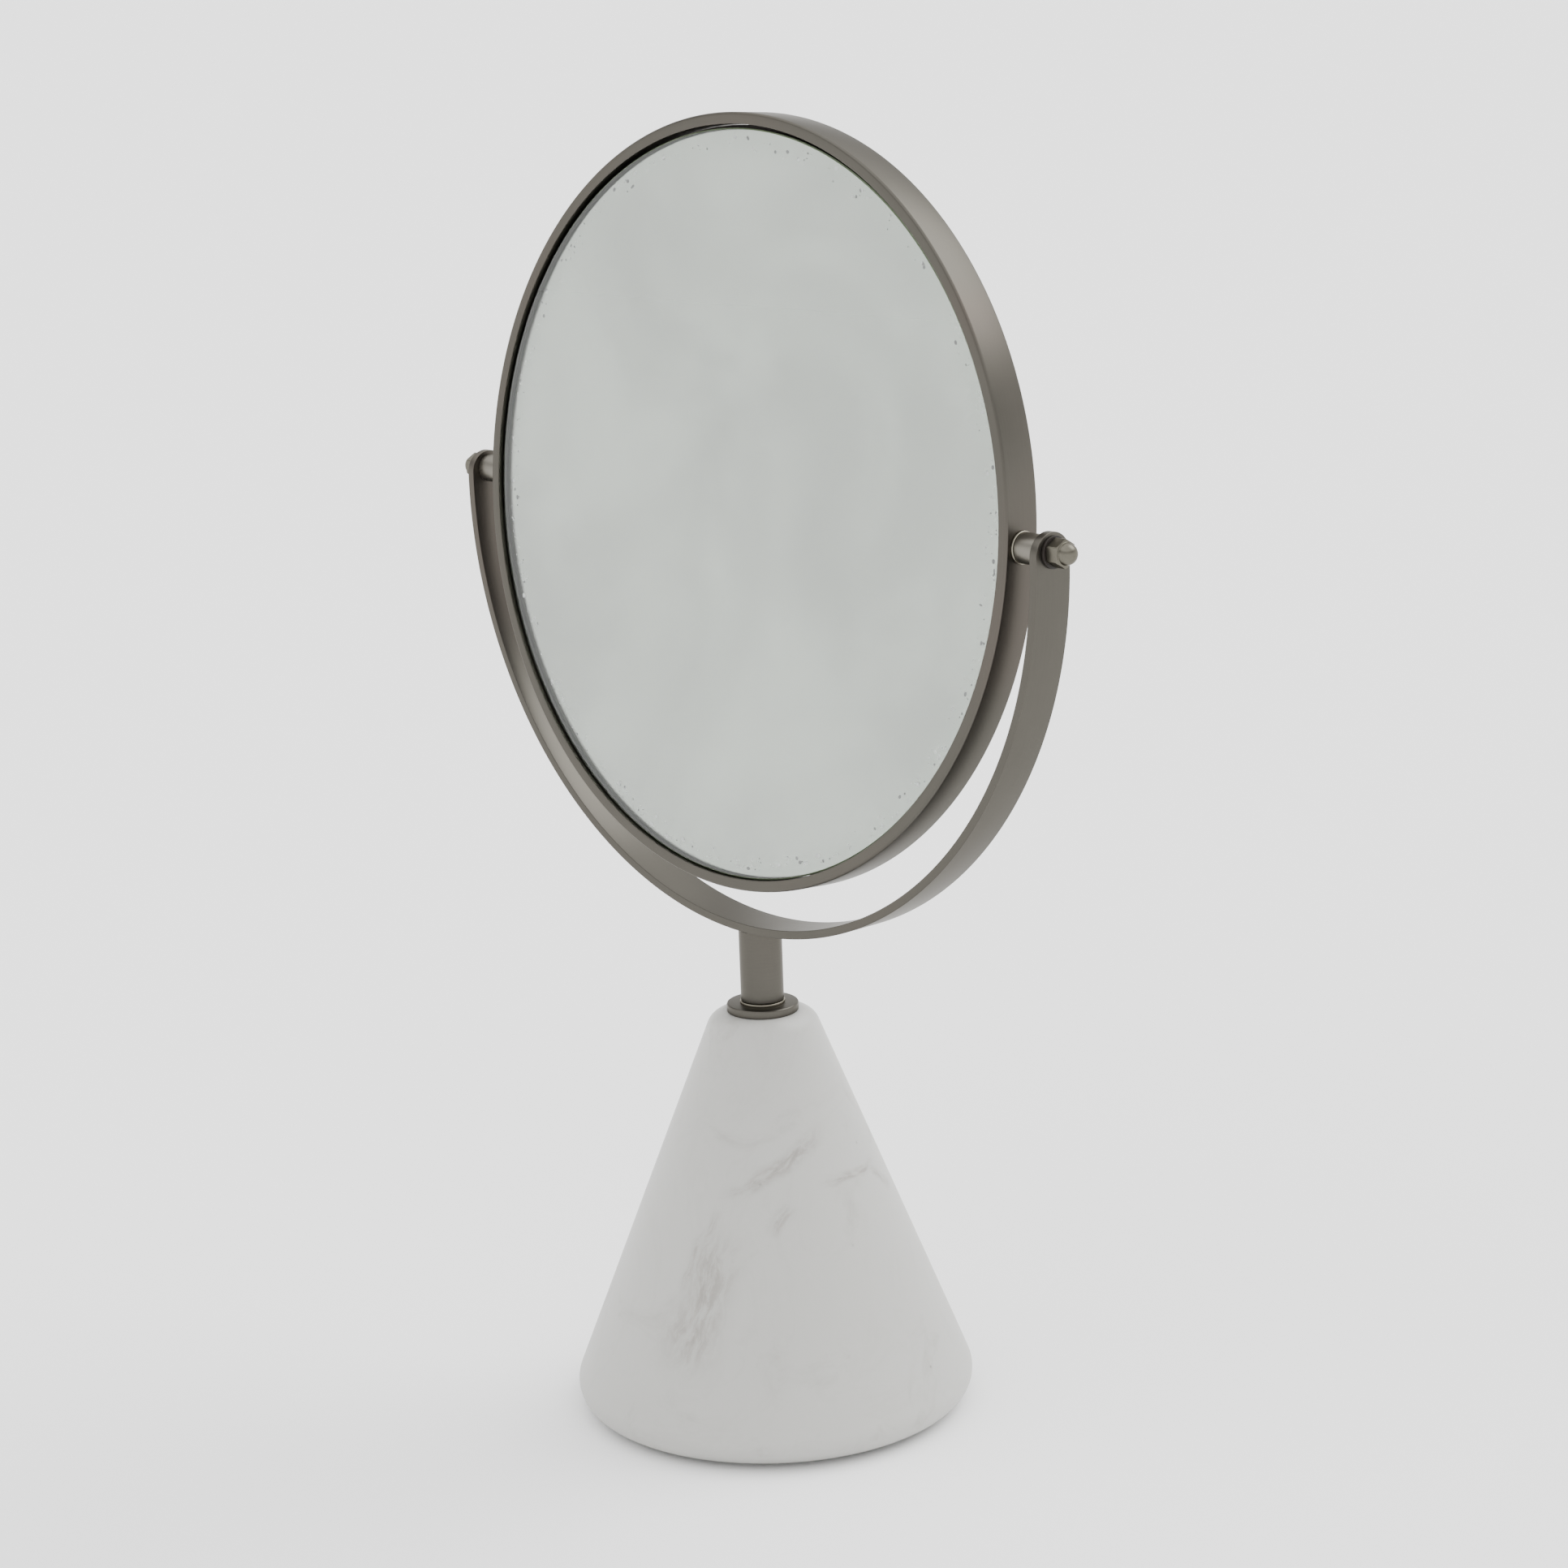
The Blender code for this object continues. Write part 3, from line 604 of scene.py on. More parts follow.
def bright_metal(name, colour, roughness, matrix=None):
    """Plated metal with a fine turned grain and slight tarnish."""
    finish = Finish(name, matrix)
    x, y, z = finish.axes()
    grain = finish.noise(1.0, 2.0, finish.vector(x * 500.0, y * 500.0, z * 9000.0))
    tarnish = finish.noise(240.0, 3.0, roughness=0.6)
    tone = finish.blend(tarnish.rise(0.35, 0.75) * 0.6, tuple(colour), shaded(colour, 0.72))
    return finish.set(
        Base_Color=tone,
        Metallic=1.0,
        Specular_Tint=EDGE_TINT,
        Roughness=roughness + tarnish * 0.12,
        Normal=finish.bump(grain, 0.00001, 0.3),
    )


def clear_glass(colours):
    """Slightly green float glass."""
    finish = Finish("clear_glass")
    wave = finish.noise(30.0, 1.0)
    tint = finish.blend(wave, shaded(colours.glass, 0.995), tuple(colours.glass))
    return finish.set(Base_Color=tint, Roughness=0.0, IOR=1.52, Transmission_Weight=1.0)


def ground_glass(name, colour):
    """Ground, unpolished glass."""
    finish = Finish(name)
    grain = finish.noise(1500.0, 2.0)
    tone = finish.blend(grain, shaded(colour, 0.85), shaded(colour, 1.15))
    return finish.set(
        Base_Color=tone, Roughness=0.55, IOR=1.52, Normal=finish.bump(grain, 0.00002, 0.4)
    )


def silver_finish(name, colours, matrix, radius):
    """The silver coat, with faint clouds of painted reflection, and greener towards its rim."""
    finish = Finish(name, matrix)
    x, y, z = finish.axes()
    distance = finish.blank.node(
        "ShaderNodeVectorMath", {"operation": "LENGTH"}, {0: finish.vector(x, y, 0.0)}, "Value"
    )
    # painted reflection: soft clouds lighten and darken the silver's colour, standing in for the blurred
    # room it reflects
    cloud = finish.noise(11.0, 3.0, roughness=0.5, distortion=0.8)
    smudge = finish.noise(60.0, 4.0, roughness=0.6)
    rim = distance.rise(radius - 0.011, radius - 0.0015)
    silver = tuple(colours.silver)
    tone = finish.blend(cloud.rise(0.3, 0.7), shaded(silver, 0.83), shaded(silver, 1.10))
    greener = (silver[0] * 0.955, silver[1] * 0.98, silver[2] * 0.955)
    tone = finish.blend(rim * (0.4 + 0.6 * smudge), tone, greener)
    return finish.set(
        Base_Color=tone, Metallic=1.0, Roughness=0.11 + cloud * 0.05 + rim * 0.05
    )


def fleck_finish():
    """Worn silver: some flecks dark, some chalky."""
    finish = Finish("worn_silver")
    pick = finish.noise(330.0, 0.0)
    tone = finish.blank.node(
        "ShaderNodeValToRGB",
        {"stops": [(0.0, 0.06), (0.46, 0.16), (0.50, 0.75), (1.0, 0.92)]},
        {"Fac": pick}, "Color",
    )
    return finish.set(Base_Color=tone, Roughness=0.7)


def nylon_finish(colours):
    """Dark moulded nylon."""
    finish = Finish("dark_nylon")
    skin = finish.noise(900.0, 2.0)
    tone = finish.blend(skin, shaded(colours.nylon, 0.8), shaded(colours.nylon, 1.3))
    return finish.set(
        Base_Color=tone, Roughness=0.42 + skin * 0.15, Normal=finish.bump(skin, 0.00002, 0.3),
        Specular_IOR_Level=0.25,
    )


def fibre_finish(name, colour, scale, roughness):
    """A soft or fibrous stuff such as felt, foam or board."""
    finish = Finish(name)
    fibre = finish.noise(scale, 4.0, roughness=0.7)
    tone = finish.blend(fibre, shaded(colour, 0.65), shaded(colour, 1.35))
    return finish.set(
        Base_Color=tone, Roughness=roughness, Normal=finish.bump(fibre, 0.0002, 0.6)
    )


def floor_finish(colour):
    """A plain pale floor."""
    finish = Finish("pale_floor")
    grain = finish.noise(3.0, 2.0)
    tone = finish.blend(grain, shaded(colour, 0.99), tuple(colour))
    return finish.set(Base_Color=tone, Roughness=0.9)


# ------------------------------------------------------------------------------------- the meshes


def rounded(corners):
    """Return a closed outline through corners (radius, height, rounding), each rounded by an arc."""
    points = []
    for index, (radius, height, rounding) in enumerate(corners):
        here = Vector((radius, height))
        if rounding == 0:
            points.append(here)
            continue
        before = (Vector(corners[index - 1][:2]) - here).normalized()
        after = (Vector(corners[(index + 1) % len(corners)][:2]) - here).normalized()
        corner = before.angle(after)
        reach = rounding / math.tan(corner / 2)
        centre = here + (before + after).normalized() * rounding / math.sin(corner / 2)
        start = here + before * reach - centre
        end = here + after * reach - centre
        first = math.atan2(start.y, start.x)
        sweep = math.remainder(math.atan2(end.y, end.x) - first, math.tau)
        for step in range(FILLET_STEPS + 1):
            points.append(centre + on_circle(rounding, first + sweep * step / FILLET_STEPS))
    return points


def on_circle(radius, angle):
    """Return a point on a circle."""
    return radius * Vector((math.cos(angle), math.sin(angle)))


def arc(centre, radius, first, last, steps):
    """Return points along an arc, both ends included."""
    return [
        Vector(centre) + on_circle(radius, first + (last - first) * step / steps)
        for step in range(steps + 1)
    ]


def revolve(outline, turns, closed=True):
    """Turn an outline of (radius, height) about local Z; an open one starts and ends on Z."""
    bm = bmesh.new()
    rings = []
    for radius, height in outline:
        count = turns if radius > WELD else 1
        rings.append([
            bm.verts.new((*on_circle(radius, math.tau * index / turns), height))
            for index in range(count)
        ])
    lower_rings = rings[1:] + ([rings[0]] if closed else [])
    for upper, lower in zip(rings, lower_rings):
        for index in range(turns):
            after = (index + 1) % turns
            corners = [
                upper[index % len(upper)], upper[after % len(upper)],
                lower[after % len(lower)], lower[index % len(lower)],
            ]
            distinct = list(dict.fromkeys(corners))
            if len(distinct) > 2:
                bm.faces.new(distinct)
    return bm


def piece_of(bm, name, matrix, *materials):
    """Make an object of a closed bmesh: laid in place, faces outwards, smooth between its edges."""
    bmesh.ops.transform(bm, matrix=matrix, verts=bm.verts)
    bmesh.ops.recalc_face_normals(bm, faces=bm.faces)
    mesh = bpy.data.meshes.new(name)
    bm.to_mesh(mesh)
    bm.free()
    return piece_with(mesh, name, *materials)


def piece_with(mesh, name, *materials):
    """Make an object of a finished mesh."""
    mesh.name = name
    for material in materials:
        mesh.materials.append(material)
    mesh.shade_smooth()
    mesh.set_sharp_from_angle(angle=SHARP_ANGLE)
    piece = bpy.data.objects.new(name, mesh)
    bpy.context.scene.collection.objects.link(piece)
    return piece


def baked(piece):
    """Return the piece's evaluated mesh as a plain one."""
    bpy.context.view_layer.update()
    graph = bpy.context.evaluated_depsgraph_get()
    return bpy.data.meshes.new_from_object(piece.evaluated_get(graph))


def carve(piece, cutter, operation="DIFFERENCE"):
    """Cut or intersect a piece with a closed object, and remove that object."""
    boolean = piece.modifiers.new("Carve", "BOOLEAN")
    boolean.operation = operation
    boolean.solver = "EXACT"
    boolean.object = cutter
    mesh = baked(piece)
    piece.modifiers.clear()
    bm = bmesh.new()
    bm.from_mesh(mesh)
    bmesh.ops.remove_doubles(bm, verts=bm.verts, dist=WELD)
    bmesh.ops.recalc_face_normals(bm, faces=bm.faces)
    bm.to_mesh(mesh)
    bm.free()
    mesh.name = piece.name
    piece.data = mesh
    mesh.shade_smooth()
    mesh.set_sharp_from_angle(angle=SHARP_ANGLE)
    bpy.data.objects.remove(cutter, do_unlink=True)
    return piece


def drill(name, radius, length, matrix, turns=SMALL_TURN):
    """Make a cylinder along local Z of a matrix, centred on its origin, to cut with."""
    half = length / 2
    return piece_of(
        revolve([(0.0, half), (radius, half), (radius, -half), (0.0, -half)], turns, False),
        name, matrix,
    )


def fit(piece, body, slot, *nodes):
    """Mount a finished piece on its body in place of the CAD nodes that it stands for."""
    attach(piece, body)
    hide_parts(*nodes)
    return piece


# ------------------------------------------------------------------------------ geometry node trees


class Tree(Signal):
    """A Geometry Nodes tree with named inputs, and the modifier inputs to set them by."""

    def __init__(self, name):
        super().__init__(bpy.data.node_groups.new(name, "GeometryNodeTree"))
        self.tree.is_modifier = True
        self.tree.interface.new_socket("Geometry", in_out="OUTPUT", socket_type="NodeSocketGeometry")
        self.group = self.tree.nodes.new("NodeGroupInput")
        self.values = {}

    def random(self, seed, draw, low, high):
        """Return an even random number for each point; each draw is a different one."""
        return self.node(
            "FunctionNodeRandomValue", {"data_type": "FLOAT"},
            {2: low, 3: high, "Seed": seed + draw}, 1,
        )

    def input(self, name, kind, value):
        """Add a named input that the modifier will set."""
        made = self.tree.interface.new_socket(name, in_out="INPUT", socket_type="NodeSocket" + kind)
        self.values[made.identifier] = value
        return Signal(self.tree, self.group.outputs[name])

    def build(self, geometry, material, name, matrix):
        """End the tree, run it once, and return its mesh as a finished piece."""
        stuff = self.input("Material", "Material", material)
        geometry = self.node("GeometryNodeRealizeInstances", None, {"Geometry": geometry})
        geometry = self.node(
            "GeometryNodeSetMaterial", None, {"Geometry": geometry, "Material": stuff}
        )
        end = self.tree.nodes.new("NodeGroupOutput")
        self.tree.links.new(geometry.socket, end.inputs["Geometry"])
        holder = bpy.data.objects.new(name, bpy.data.meshes.new(name))
        bpy.context.scene.collection.objects.link(holder)
        modifier = holder.modifiers.new(name, "NODES")
        modifier.node_group = self.tree
        for identifier, value in self.values.items():
            modifier[identifier] = value
        mesh = baked(holder)
        bpy.data.objects.remove(holder, do_unlink=True)
        bm = bmesh.new()
        bm.from_mesh(mesh)
        bmesh.ops.remove_doubles(bm, verts=bm.verts, dist=WELD)
        bmesh.ops.transform(bm, matrix=matrix, verts=bm.verts)
        bmesh.ops.recalc_face_normals(bm, faces=bm.faces)
        bm.to_mesh(mesh)
        bm.free()
        return piece_with(mesh, name)


def bar_ring(name, sizes, material):
    """Build the mirror's ring: a bar of rectangular section, its edges rounded, run round a circle."""
    ring = Turned("mirror_ring", TILTED @ placed((0.0, 0.0, 0.0), (0.0, 1.0, 0.0)))
    tree = Tree("bar_ring")
    radius = tree.input("Radius", "Float", ring.radius)
    bore = tree.input("Bore", "Float", ring.bore)
    depth = tree.input("Depth", "Float", ring.high - ring.low)
    outer_edge = tree.input("Outer Edge", "Float", sizes.ring_outer_edge)
    inner_edge = tree.input("Inner Edge", "Float", sizes.ring_inner_edge)
    turns = tree.input("Turns", "Int", BIG_TURN)
    steps = tree.input("Edge Steps", "Int", FILLET_STEPS)
    path = tree.node(
        "GeometryNodeCurvePrimitiveCircle", {"mode": "RADIUS"},
        {"Resolution": turns, "Radius": (radius + bore) * 0.5},
    )
    section = tree.node(
        "GeometryNodeCurvePrimitiveQuadrilateral", {"mode": "RECTANGLE"},
        {"Width": radius - bore, "Height": depth},
    )
    across = tree.node(
        "ShaderNodeSeparateXYZ", None, {"Vector": tree.node("GeometryNodeInputPosition")}, "X"
    )
    outer = tree.math("GREATER_THAN", across, 0.0)
    edge = outer * outer_edge + (1.0 - outer) * inner_edge
    section = tree.node(
        "GeometryNodeFilletCurve", {"mode": "POLY"},
        {"Curve": section, "Count": steps, "Radius": edge},
    )
    swept = tree.node(
        "GeometryNodeCurveToMesh", None, {"Curve": path, "Profile Curve": section}
    )
    return tree.build(swept, material, name, TILTED @ placed((0.0, 0.0, 0.0), (0.0, -1.0, 0.0)))


def threaded_rod(name, node, matrix, pitch, material):
    """Build a fully threaded rod: a cylinder whose skin rises and falls along a helix."""
    size = Turned(node, matrix)
    tree = Tree("threaded_rod")
    radius = tree.input("Radius", "Float", size.radius)
    length = tree.input("Length", "Float", size.high - size.low)
    step = tree.input("Pitch", "Float", pitch)
    turns = tree.input("Turns", "Int", ROD_TURN)
    rows = tree.input("Rows", "Int", round((size.high - size.low) / pitch * ROWS_A_PITCH))
    rod = tree.node(
        "GeometryNodeMeshCylinder", {"fill_type": "NGON"},
        {"Vertices": turns, "Side Segments": rows, "Radius": radius, "Depth": length},
    )
    x = tree.node(
        "ShaderNodeSeparateXYZ", None, {"Vector": tree.node("GeometryNodeInputPosition")}, "X"
    )
    y, z = x.other("Y"), x.other("Z")
    phase = z / step - tree.math("ARCTAN2", y, x) / math.tau
    groove = tree.math("PINGPONG", phase, 0.5) * 2.0
    end = (length * 0.5 - tree.math("ABSOLUTE", z)) / step
    taper = 1.0 - end.rise(0.0, 0.7)
    depth = (groove * THREAD_DEPTH + taper * THREAD_DEPTH) * step / radius
    shrink = 1.0 - depth
    place = tree.node("ShaderNodeCombineXYZ", None, {"X": x * shrink, "Y": y * shrink, "Z": z})
    rod = tree.node("GeometryNodeSetPosition", None, {"Geometry": rod, "Position": place})
    lift = Matrix.Translation((0.0, 0.0, (size.high + size.low) / 2))
    return tree.build(rod, material, name, matrix @ lift)


def rim_flecks(name, radius, level, matrix, sizes, seed, material):
    """Scatter thin flecks of worn silver along a glass's rim, denser close to the edge."""
    tree = Tree("rim_flecks")
    count = tree.input("Count", "Int", sizes.fleck_count)
    rim = tree.input("Rim Radius", "Float", radius)
    width = tree.input("Fleck Size", "Float", sizes.fleck_size)
    draw = tree.input("Seed", "Int", seed)
    points = tree.node("GeometryNodePoints", None, {"Count": count})
    angle = tree.random(draw, 1, 0.0, math.tau)
    spread = tree.random(draw, 2, 0.0, 1.0)
    inward = tree.math("POWER", spread, FLECK_CROWDING) * FLECK_REACH + FLECK_START
    distance = rim - inward - width * 0.5
    place = tree.node(
        "ShaderNodeCombineXYZ", None,
        {
            "X": distance * tree.math("COSINE", angle),
            "Y": distance * tree.math("SINE", angle),
            "Z": level,
        },
    )
    points = tree.node("GeometryNodeSetPosition", None, {"Geometry": points, "Position": place})
    fleck = tree.node(
        "GeometryNodeMeshCylinder", {"fill_type": "NGON"},
        {"Vertices": FLECK_SIDES, "Side Segments": 1, "Radius": width * 0.5, "Depth": FLECK_DEPTH},
    )
    size = tree.math("POWER", tree.random(draw, 3, 0.0, 1.0), 3.0) * 1.4 + 0.3
    stretch = tree.random(draw, 4, 0.5, 1.6)
    scale = tree.node("ShaderNodeCombineXYZ", None, {"X": size, "Y": size * stretch, "Z": 1.0})
    turn = tree.node("ShaderNodeCombineXYZ", None, {"X": 0.0, "Y": 0.0, "Z": angle})
    turn = tree.node("FunctionNodeEulerToRotation", None, {"Euler": turn})
    flecks = tree.node(
        "GeometryNodeInstanceOnPoints", None,
        {"Points": points, "Instance": fleck, "Rotation": turn, "Scale": scale},
    )
    return tree.build(flecks, material, name, matrix)


# -------------------------------------------------------------------------------- fitting shapes


def disc(radius, low, high, edge, turns):
    """Return a solid disc along local Z."""
    corners = [(0.0, high, 0), (radius, high, edge), (radius, low, edge), (0.0, low, 0)]
    return revolve(rounded(corners), turns, closed=False)


def collar(name, size, matrix, material, edge, turns=MIDDLE_TURN, low=None, high=None):
    """Make a tube or washer of a node's size, its outer edges rounded and its bore's edges eased."""
    low = size.low if low is None else low
    high = size.high if high is None else high
    ease = edge / 2
    corners = [
        (size.radius, high, edge), (size.radius, low, edge),
        (size.bore, low, ease), (size.bore, high, ease),
    ]
    return piece_of(revolve(rounded(corners), turns), name, matrix, material)


def corners_of(flats):
    """Return the radius at a hexagon's corners, from its width across flats."""
    return flats / 2 / math.cos(math.pi / HEX)


def flats_of(radius):
    """Return a hexagon's width across flats, from the radius at its corners."""
    return 2 * radius * math.cos(math.pi / HEX)


def nut(name, corners, flats, low, high, matrix, material):
    """Make a hexagonal nut: a turned outline, cut to six flats with softly rounded corners."""
    closed = corners[0][0] > WELD
    radius = corners_of(flats)
    body = piece_of(revolve(rounded(corners), MIDDLE_TURN, closed), name, matrix, material)
    bm = bmesh.new()
    bmesh.ops.create_cone(
        bm, cap_ends=True, segments=HEX, radius1=radius, radius2=radius, depth=(high - low) * 2
    )
    upright = [edge for edge in bm.edges if abs(edge.verts[0].co.z - edge.verts[1].co.z) > WELD]
    bmesh.ops.bevel(bm, geom=upright, offset=HEX_EDGE, segments=3, profile=0.5, affect="EDGES")
    cutter = piece_of(bm, name + "_flats", matrix @ Matrix.Translation((0, 0, (low + high) / 2)))
    return carve(body, cutter, "INTERSECT")


def chamfer_drop(flats):
    """Return how far a nut's corners are chamfered down."""
    return flats / 2 * (1 / math.cos(math.pi / HEX) - 1) * math.tan(NUT_CHAMFER)


def cone_outline(cone, sizes):
    """Return the marble's outline: two arcs joined by the straight line that touches both."""
    ledge = cone.widest_at(cone.high)
    top, foot = sizes.shoulder_rounding, sizes.foot_rounding
    upper = Vector((ledge, cone.high - top))
    lower = Vector((cone.radius - foot, cone.low + foot))
    slope = lower - upper
    facing = math.atan2(slope.y, slope.x) + math.acos((top - foot) / slope.length)
    opening = cone.narrowest_at(cone.low)
    recess = cone.narrowest_at(cone.high)
    ceiling, floor = cone.span_of(cone.bore)
    return (
        arc(upper, top, math.pi / 2, facing, 3 * FILLET_STEPS)
        + arc(lower, foot, facing, -math.pi / 2, 4 * FILLET_STEPS)
        + [
            Vector(point) for point in (
                (opening, cone.low), (opening, ceiling), (cone.bore, ceiling),
                (cone.bore, floor), (recess, floor), (recess, cone.high),
            )
        ]
    )


class Bar:
    """The yoke's bar as the frame has it: its bend, width, thickness and round ends."""

    def __init__(self):
        low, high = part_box("yoke_strap")
        points = [vertex.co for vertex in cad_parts["yoke_strap"].data.vertices]
        self.outside = high.x
        self.inside = min(abs(point.x) for point in points if point.z > PIVOT.z)
        self.half_width = high.y
        self.thickness = self.outside - self.inside
        self.centre = low.z + self.outside
        self.straight = high.z - self.half_width - self.centre

    def bend(self, along, across, outward):
        """Return the place of a point of the flat bar, measured from the middle of its inside."""
        quarter = self.inside * math.pi / 2
        radius = self.inside + outward
        if abs(along) <= quarter:
            angle = along / self.inside
            return radius * math.sin(angle), across, self.centre - radius * math.cos(angle)
        rise = abs(along) - quarter
        return math.copysign(radius, along), across, self.centre + rise

    def stations(self):
        """Yield a point on the middle line and a direction to the edge, from tip to tip."""
        end = self.inside * math.pi / 2 + self.straight
        quarter = self.inside * math.pi / 2
        turns = [math.pi / 2 * step / BAR_END_STEPS for step in range(BAR_END_STEPS)]
        for turn in turns:
            yield -end, -math.cos(turn), math.sin(turn)
        yield -end, 0.0, 1.0
        for step in range(BAR_STEPS + 1):
            yield quarter * (2 * step / BAR_STEPS - 1), 0.0, 1.0
        yield end, 0.0, 1.0
        for turn in reversed(turns):
            yield end, math.cos(turn), math.sin(turn)


def bent_bar(bar, edge):
    """Return the yoke's bar: a flat blank with round ends and eased edges, bent round the ring."""
    section = edge_profile(edge, bar.thickness)
    bm = bmesh.new()
    rails = []
    for middle_line, forth, aside in bar.stations():
        rails.append([
            [
                bm.verts.new(bar.bend(
                    middle_line + (bar.half_width - inset) * forth,
                    side * (bar.half_width - inset) * aside,
                    height,
                ))
                for inset, height in section
            ]
            for side in (1, -1)
        ])
    last = len(section) - 1
    for here, there in zip(rails, rails[1:]):
        for side in (0, 1):
            for row in range(last):
                bm.faces.new((
                    here[side][row], there[side][row], there[side][row + 1], here[side][row + 1]
                ))
        for row in (0, last):
            bm.faces.new((here[0][row], there[0][row], there[1][row], here[1][row]))
    bmesh.ops.remove_doubles(bm, verts=bm.verts, dist=WELD)
    return bm


def edge_profile(edge, thickness):
    """Return (inset, height) points down the side of a bar with both edges rounded."""
    points = []
    for step in range(FILLET_STEPS + 1):
        turn = math.pi / 2 * (1 - step / FILLET_STEPS)
        points.append((edge - edge * math.cos(turn), edge - edge * math.sin(turn)))
    return points + [(inset, thickness - height) for inset, height in reversed(points)]


# ----------------------------------------------------------------------------------- the operators


class MIRROR_OT_marble(bpy.types.Operator):
    """Make the marble cone."""

    bl_idname = "mirror.marble"
    bl_label = "Marble Cone"

    def execute(self, context):
        """Turn the cone and give it its stone."""
        cone = Turned("marble_base", on_stem())
        outline = cone_outline(cone, context.scene.mirror_sizes)
        stone = marble_finish(context.scene.mirror_colours, cone)
        piece = piece_of(revolve(outline, BIG_TURN), "marble_cone", on_stem(), stone)
        fit(piece, "base", "marble", "marble_base")
        return {"FINISHED"}


class MIRROR_OT_felt(bpy.types.Operator):
    """Make the felt under the marble."""

    bl_idname = "mirror.felt"
    bl_label = "Felt"

    def execute(self, context):
        """Cut the disc."""
        felt = Turned("felt_pad", on_stem())
        stuff = fibre_finish("grey_felt", tuple(context.scene.mirror_colours.felt), 1800.0, 0.95)
        top = Turned("marble_base", on_stem()).low - CLOSE
        mesh = disc(felt.radius, felt.low, top, (top - felt.low) / 3, MIDDLE_TURN)
        fit(piece_of(mesh, "felt_foot", on_stem(), stuff), "base", "felt", "felt_pad")
        return {"FINISHED"}


class MIRROR_OT_stem(bpy.types.Operator):
    """Make the flange, the stem and the washer between them."""

    bl_idname = "mirror.stem"
    bl_label = "Flange and Stem"

    def execute(self, context):
        """Turn the three pieces, and cut the stem's top to the yoke's bar."""
        sizes, colours = context.scene.mirror_sizes, context.scene.mirror_colours
        nickel = satin_nickel("satin_nickel_stem", tuple(colours.nickel), on_stem(), reach=0.012)
        # painted highlight: the foot washer gets a lighter copy of the bright nickel
        bright = bright_metal("bright_nickel_washer_painted_highlight", shaded(colours.bright_nickel, WASHER_PAINTED_HIGHLIGHT), 0.28)
        flange = Turned("base_flange", on_stem())
        marble = Turned("marble_base", on_stem())
        spigot = flange.widest_at(flange.low)
        foot = marble.high + CLOSE
        edge = sizes.small_edge
        corners = [
            (flange.radius, flange.high, 2 * edge), (flange.radius, foot, edge), (spigot, foot, 0),
            (spigot, flange.low, edge), (flange.bore, flange.low, 0), (flange.bore, flange.high, 0),
        ]
        piece = piece_of(revolve(rounded(corners), MIDDLE_TURN), "round_flange", on_stem(), nickel)
        fit(piece, "base", "satin_nickel", "base_flange")

        washer = Turned("stem_washer", on_stem())
        stem = Turned("stem", on_stem())
        foot = flange.high + CLOSE
        piece = collar("foot_washer", washer, on_stem(), bright, edge / 2, low=foot)
        fit(piece, "yoke", "bright_nickel", "stem_washer")

        bar = Bar()
        foot = washer.high + CLOSE
        top = stem.high + bar.thickness
        bore = stem.narrowest_at(stem.low)
        depth = stem.span_of(bore)[1]
        corners = [
            (0.0, top, 0), (stem.radius, top, 0), (stem.radius, foot, 2 * edge),
            (bore, foot, edge), (bore, depth, 0), (0.0, depth, 0),
        ]
        mesh = revolve(rounded(corners), MIDDLE_TURN, closed=False)
        piece = piece_of(mesh, "swivel_stem", on_stem(), nickel)
        saddle = drill(
            "saddle", bar.outside + CLOSE, 4 * stem.radius,
            placed((0.0, 0.0, bar.centre), (0.0, 1.0, 0.0)), 4 * BAR_STEPS,
        )
        fit(carve(piece, saddle), "yoke", "satin_nickel", "stem")
        return {"FINISHED"}


class MIRROR_OT_clamp(bpy.types.Operator):
    """Make the tie rod, and the washers and nut under the marble."""

    bl_idname = "mirror.clamp"
    bl_label = "Tie Rod and Nut"

    def execute(self, context):
        """Thread the rod, and turn its fittings."""
        sizes, colours = context.scene.mirror_sizes, context.scene.mirror_colours
        zinc = bright_metal("zinc_plate", tuple(colours.zinc), 0.36)
        edge = sizes.small_edge
        rod = threaded_rod("clamp_rod", "tie_rod", on_stem(), sizes.rod_pitch, zinc)
        fit(rod, "yoke", "zinc_steel", "tie_rod")

        wide = Turned("base_washer", on_stem())
        piece = collar("clamp_washer", wide, on_stem(), zinc, edge)
        fit(piece, "yoke", "zinc_steel", "base_washer")

        split = Turned("spring_washer", on_stem())
        piece = collar("lock_washer", split, on_stem(), zinc, edge)
        bm = bmesh.new()
        bmesh.ops.create_cube(bm, size=1.0)
        slot = (split.radius + CLOSE, SPLIT_WIDTH, 4 * (split.high - split.low))
        bmesh.ops.scale(bm, vec=slot, verts=bm.verts)
        place = Matrix.Translation((slot[0] / 2, 0.0, (split.low + split.high) / 2))
        cutter = piece_of(bm, "split", place @ Matrix.Rotation(SPLIT_SLANT, 4, "X"))
        fit(carve(piece, cutter), "yoke", "zinc_steel", "spring_washer")

        lock = Turned("base_nut", on_stem())
        flats = flats_of(lock.radius)
        drop = chamfer_drop(flats)
        face = flats / 2 * FACE_SHARE
        corners = [
            (face, lock.high, 0), (lock.radius, lock.high - drop, 0), (lock.radius, lock.low + drop, 0),
            (face, lock.low, 0), (lock.bore, lock.low, edge), (lock.bore, lock.high, edge),
        ]
        piece = nut("clamp_nut", corners, flats, lock.low, lock.high, on_stem(), zinc)
        fit(piece, "yoke", "zinc_steel", "base_nut")
        return {"FINISHED"}


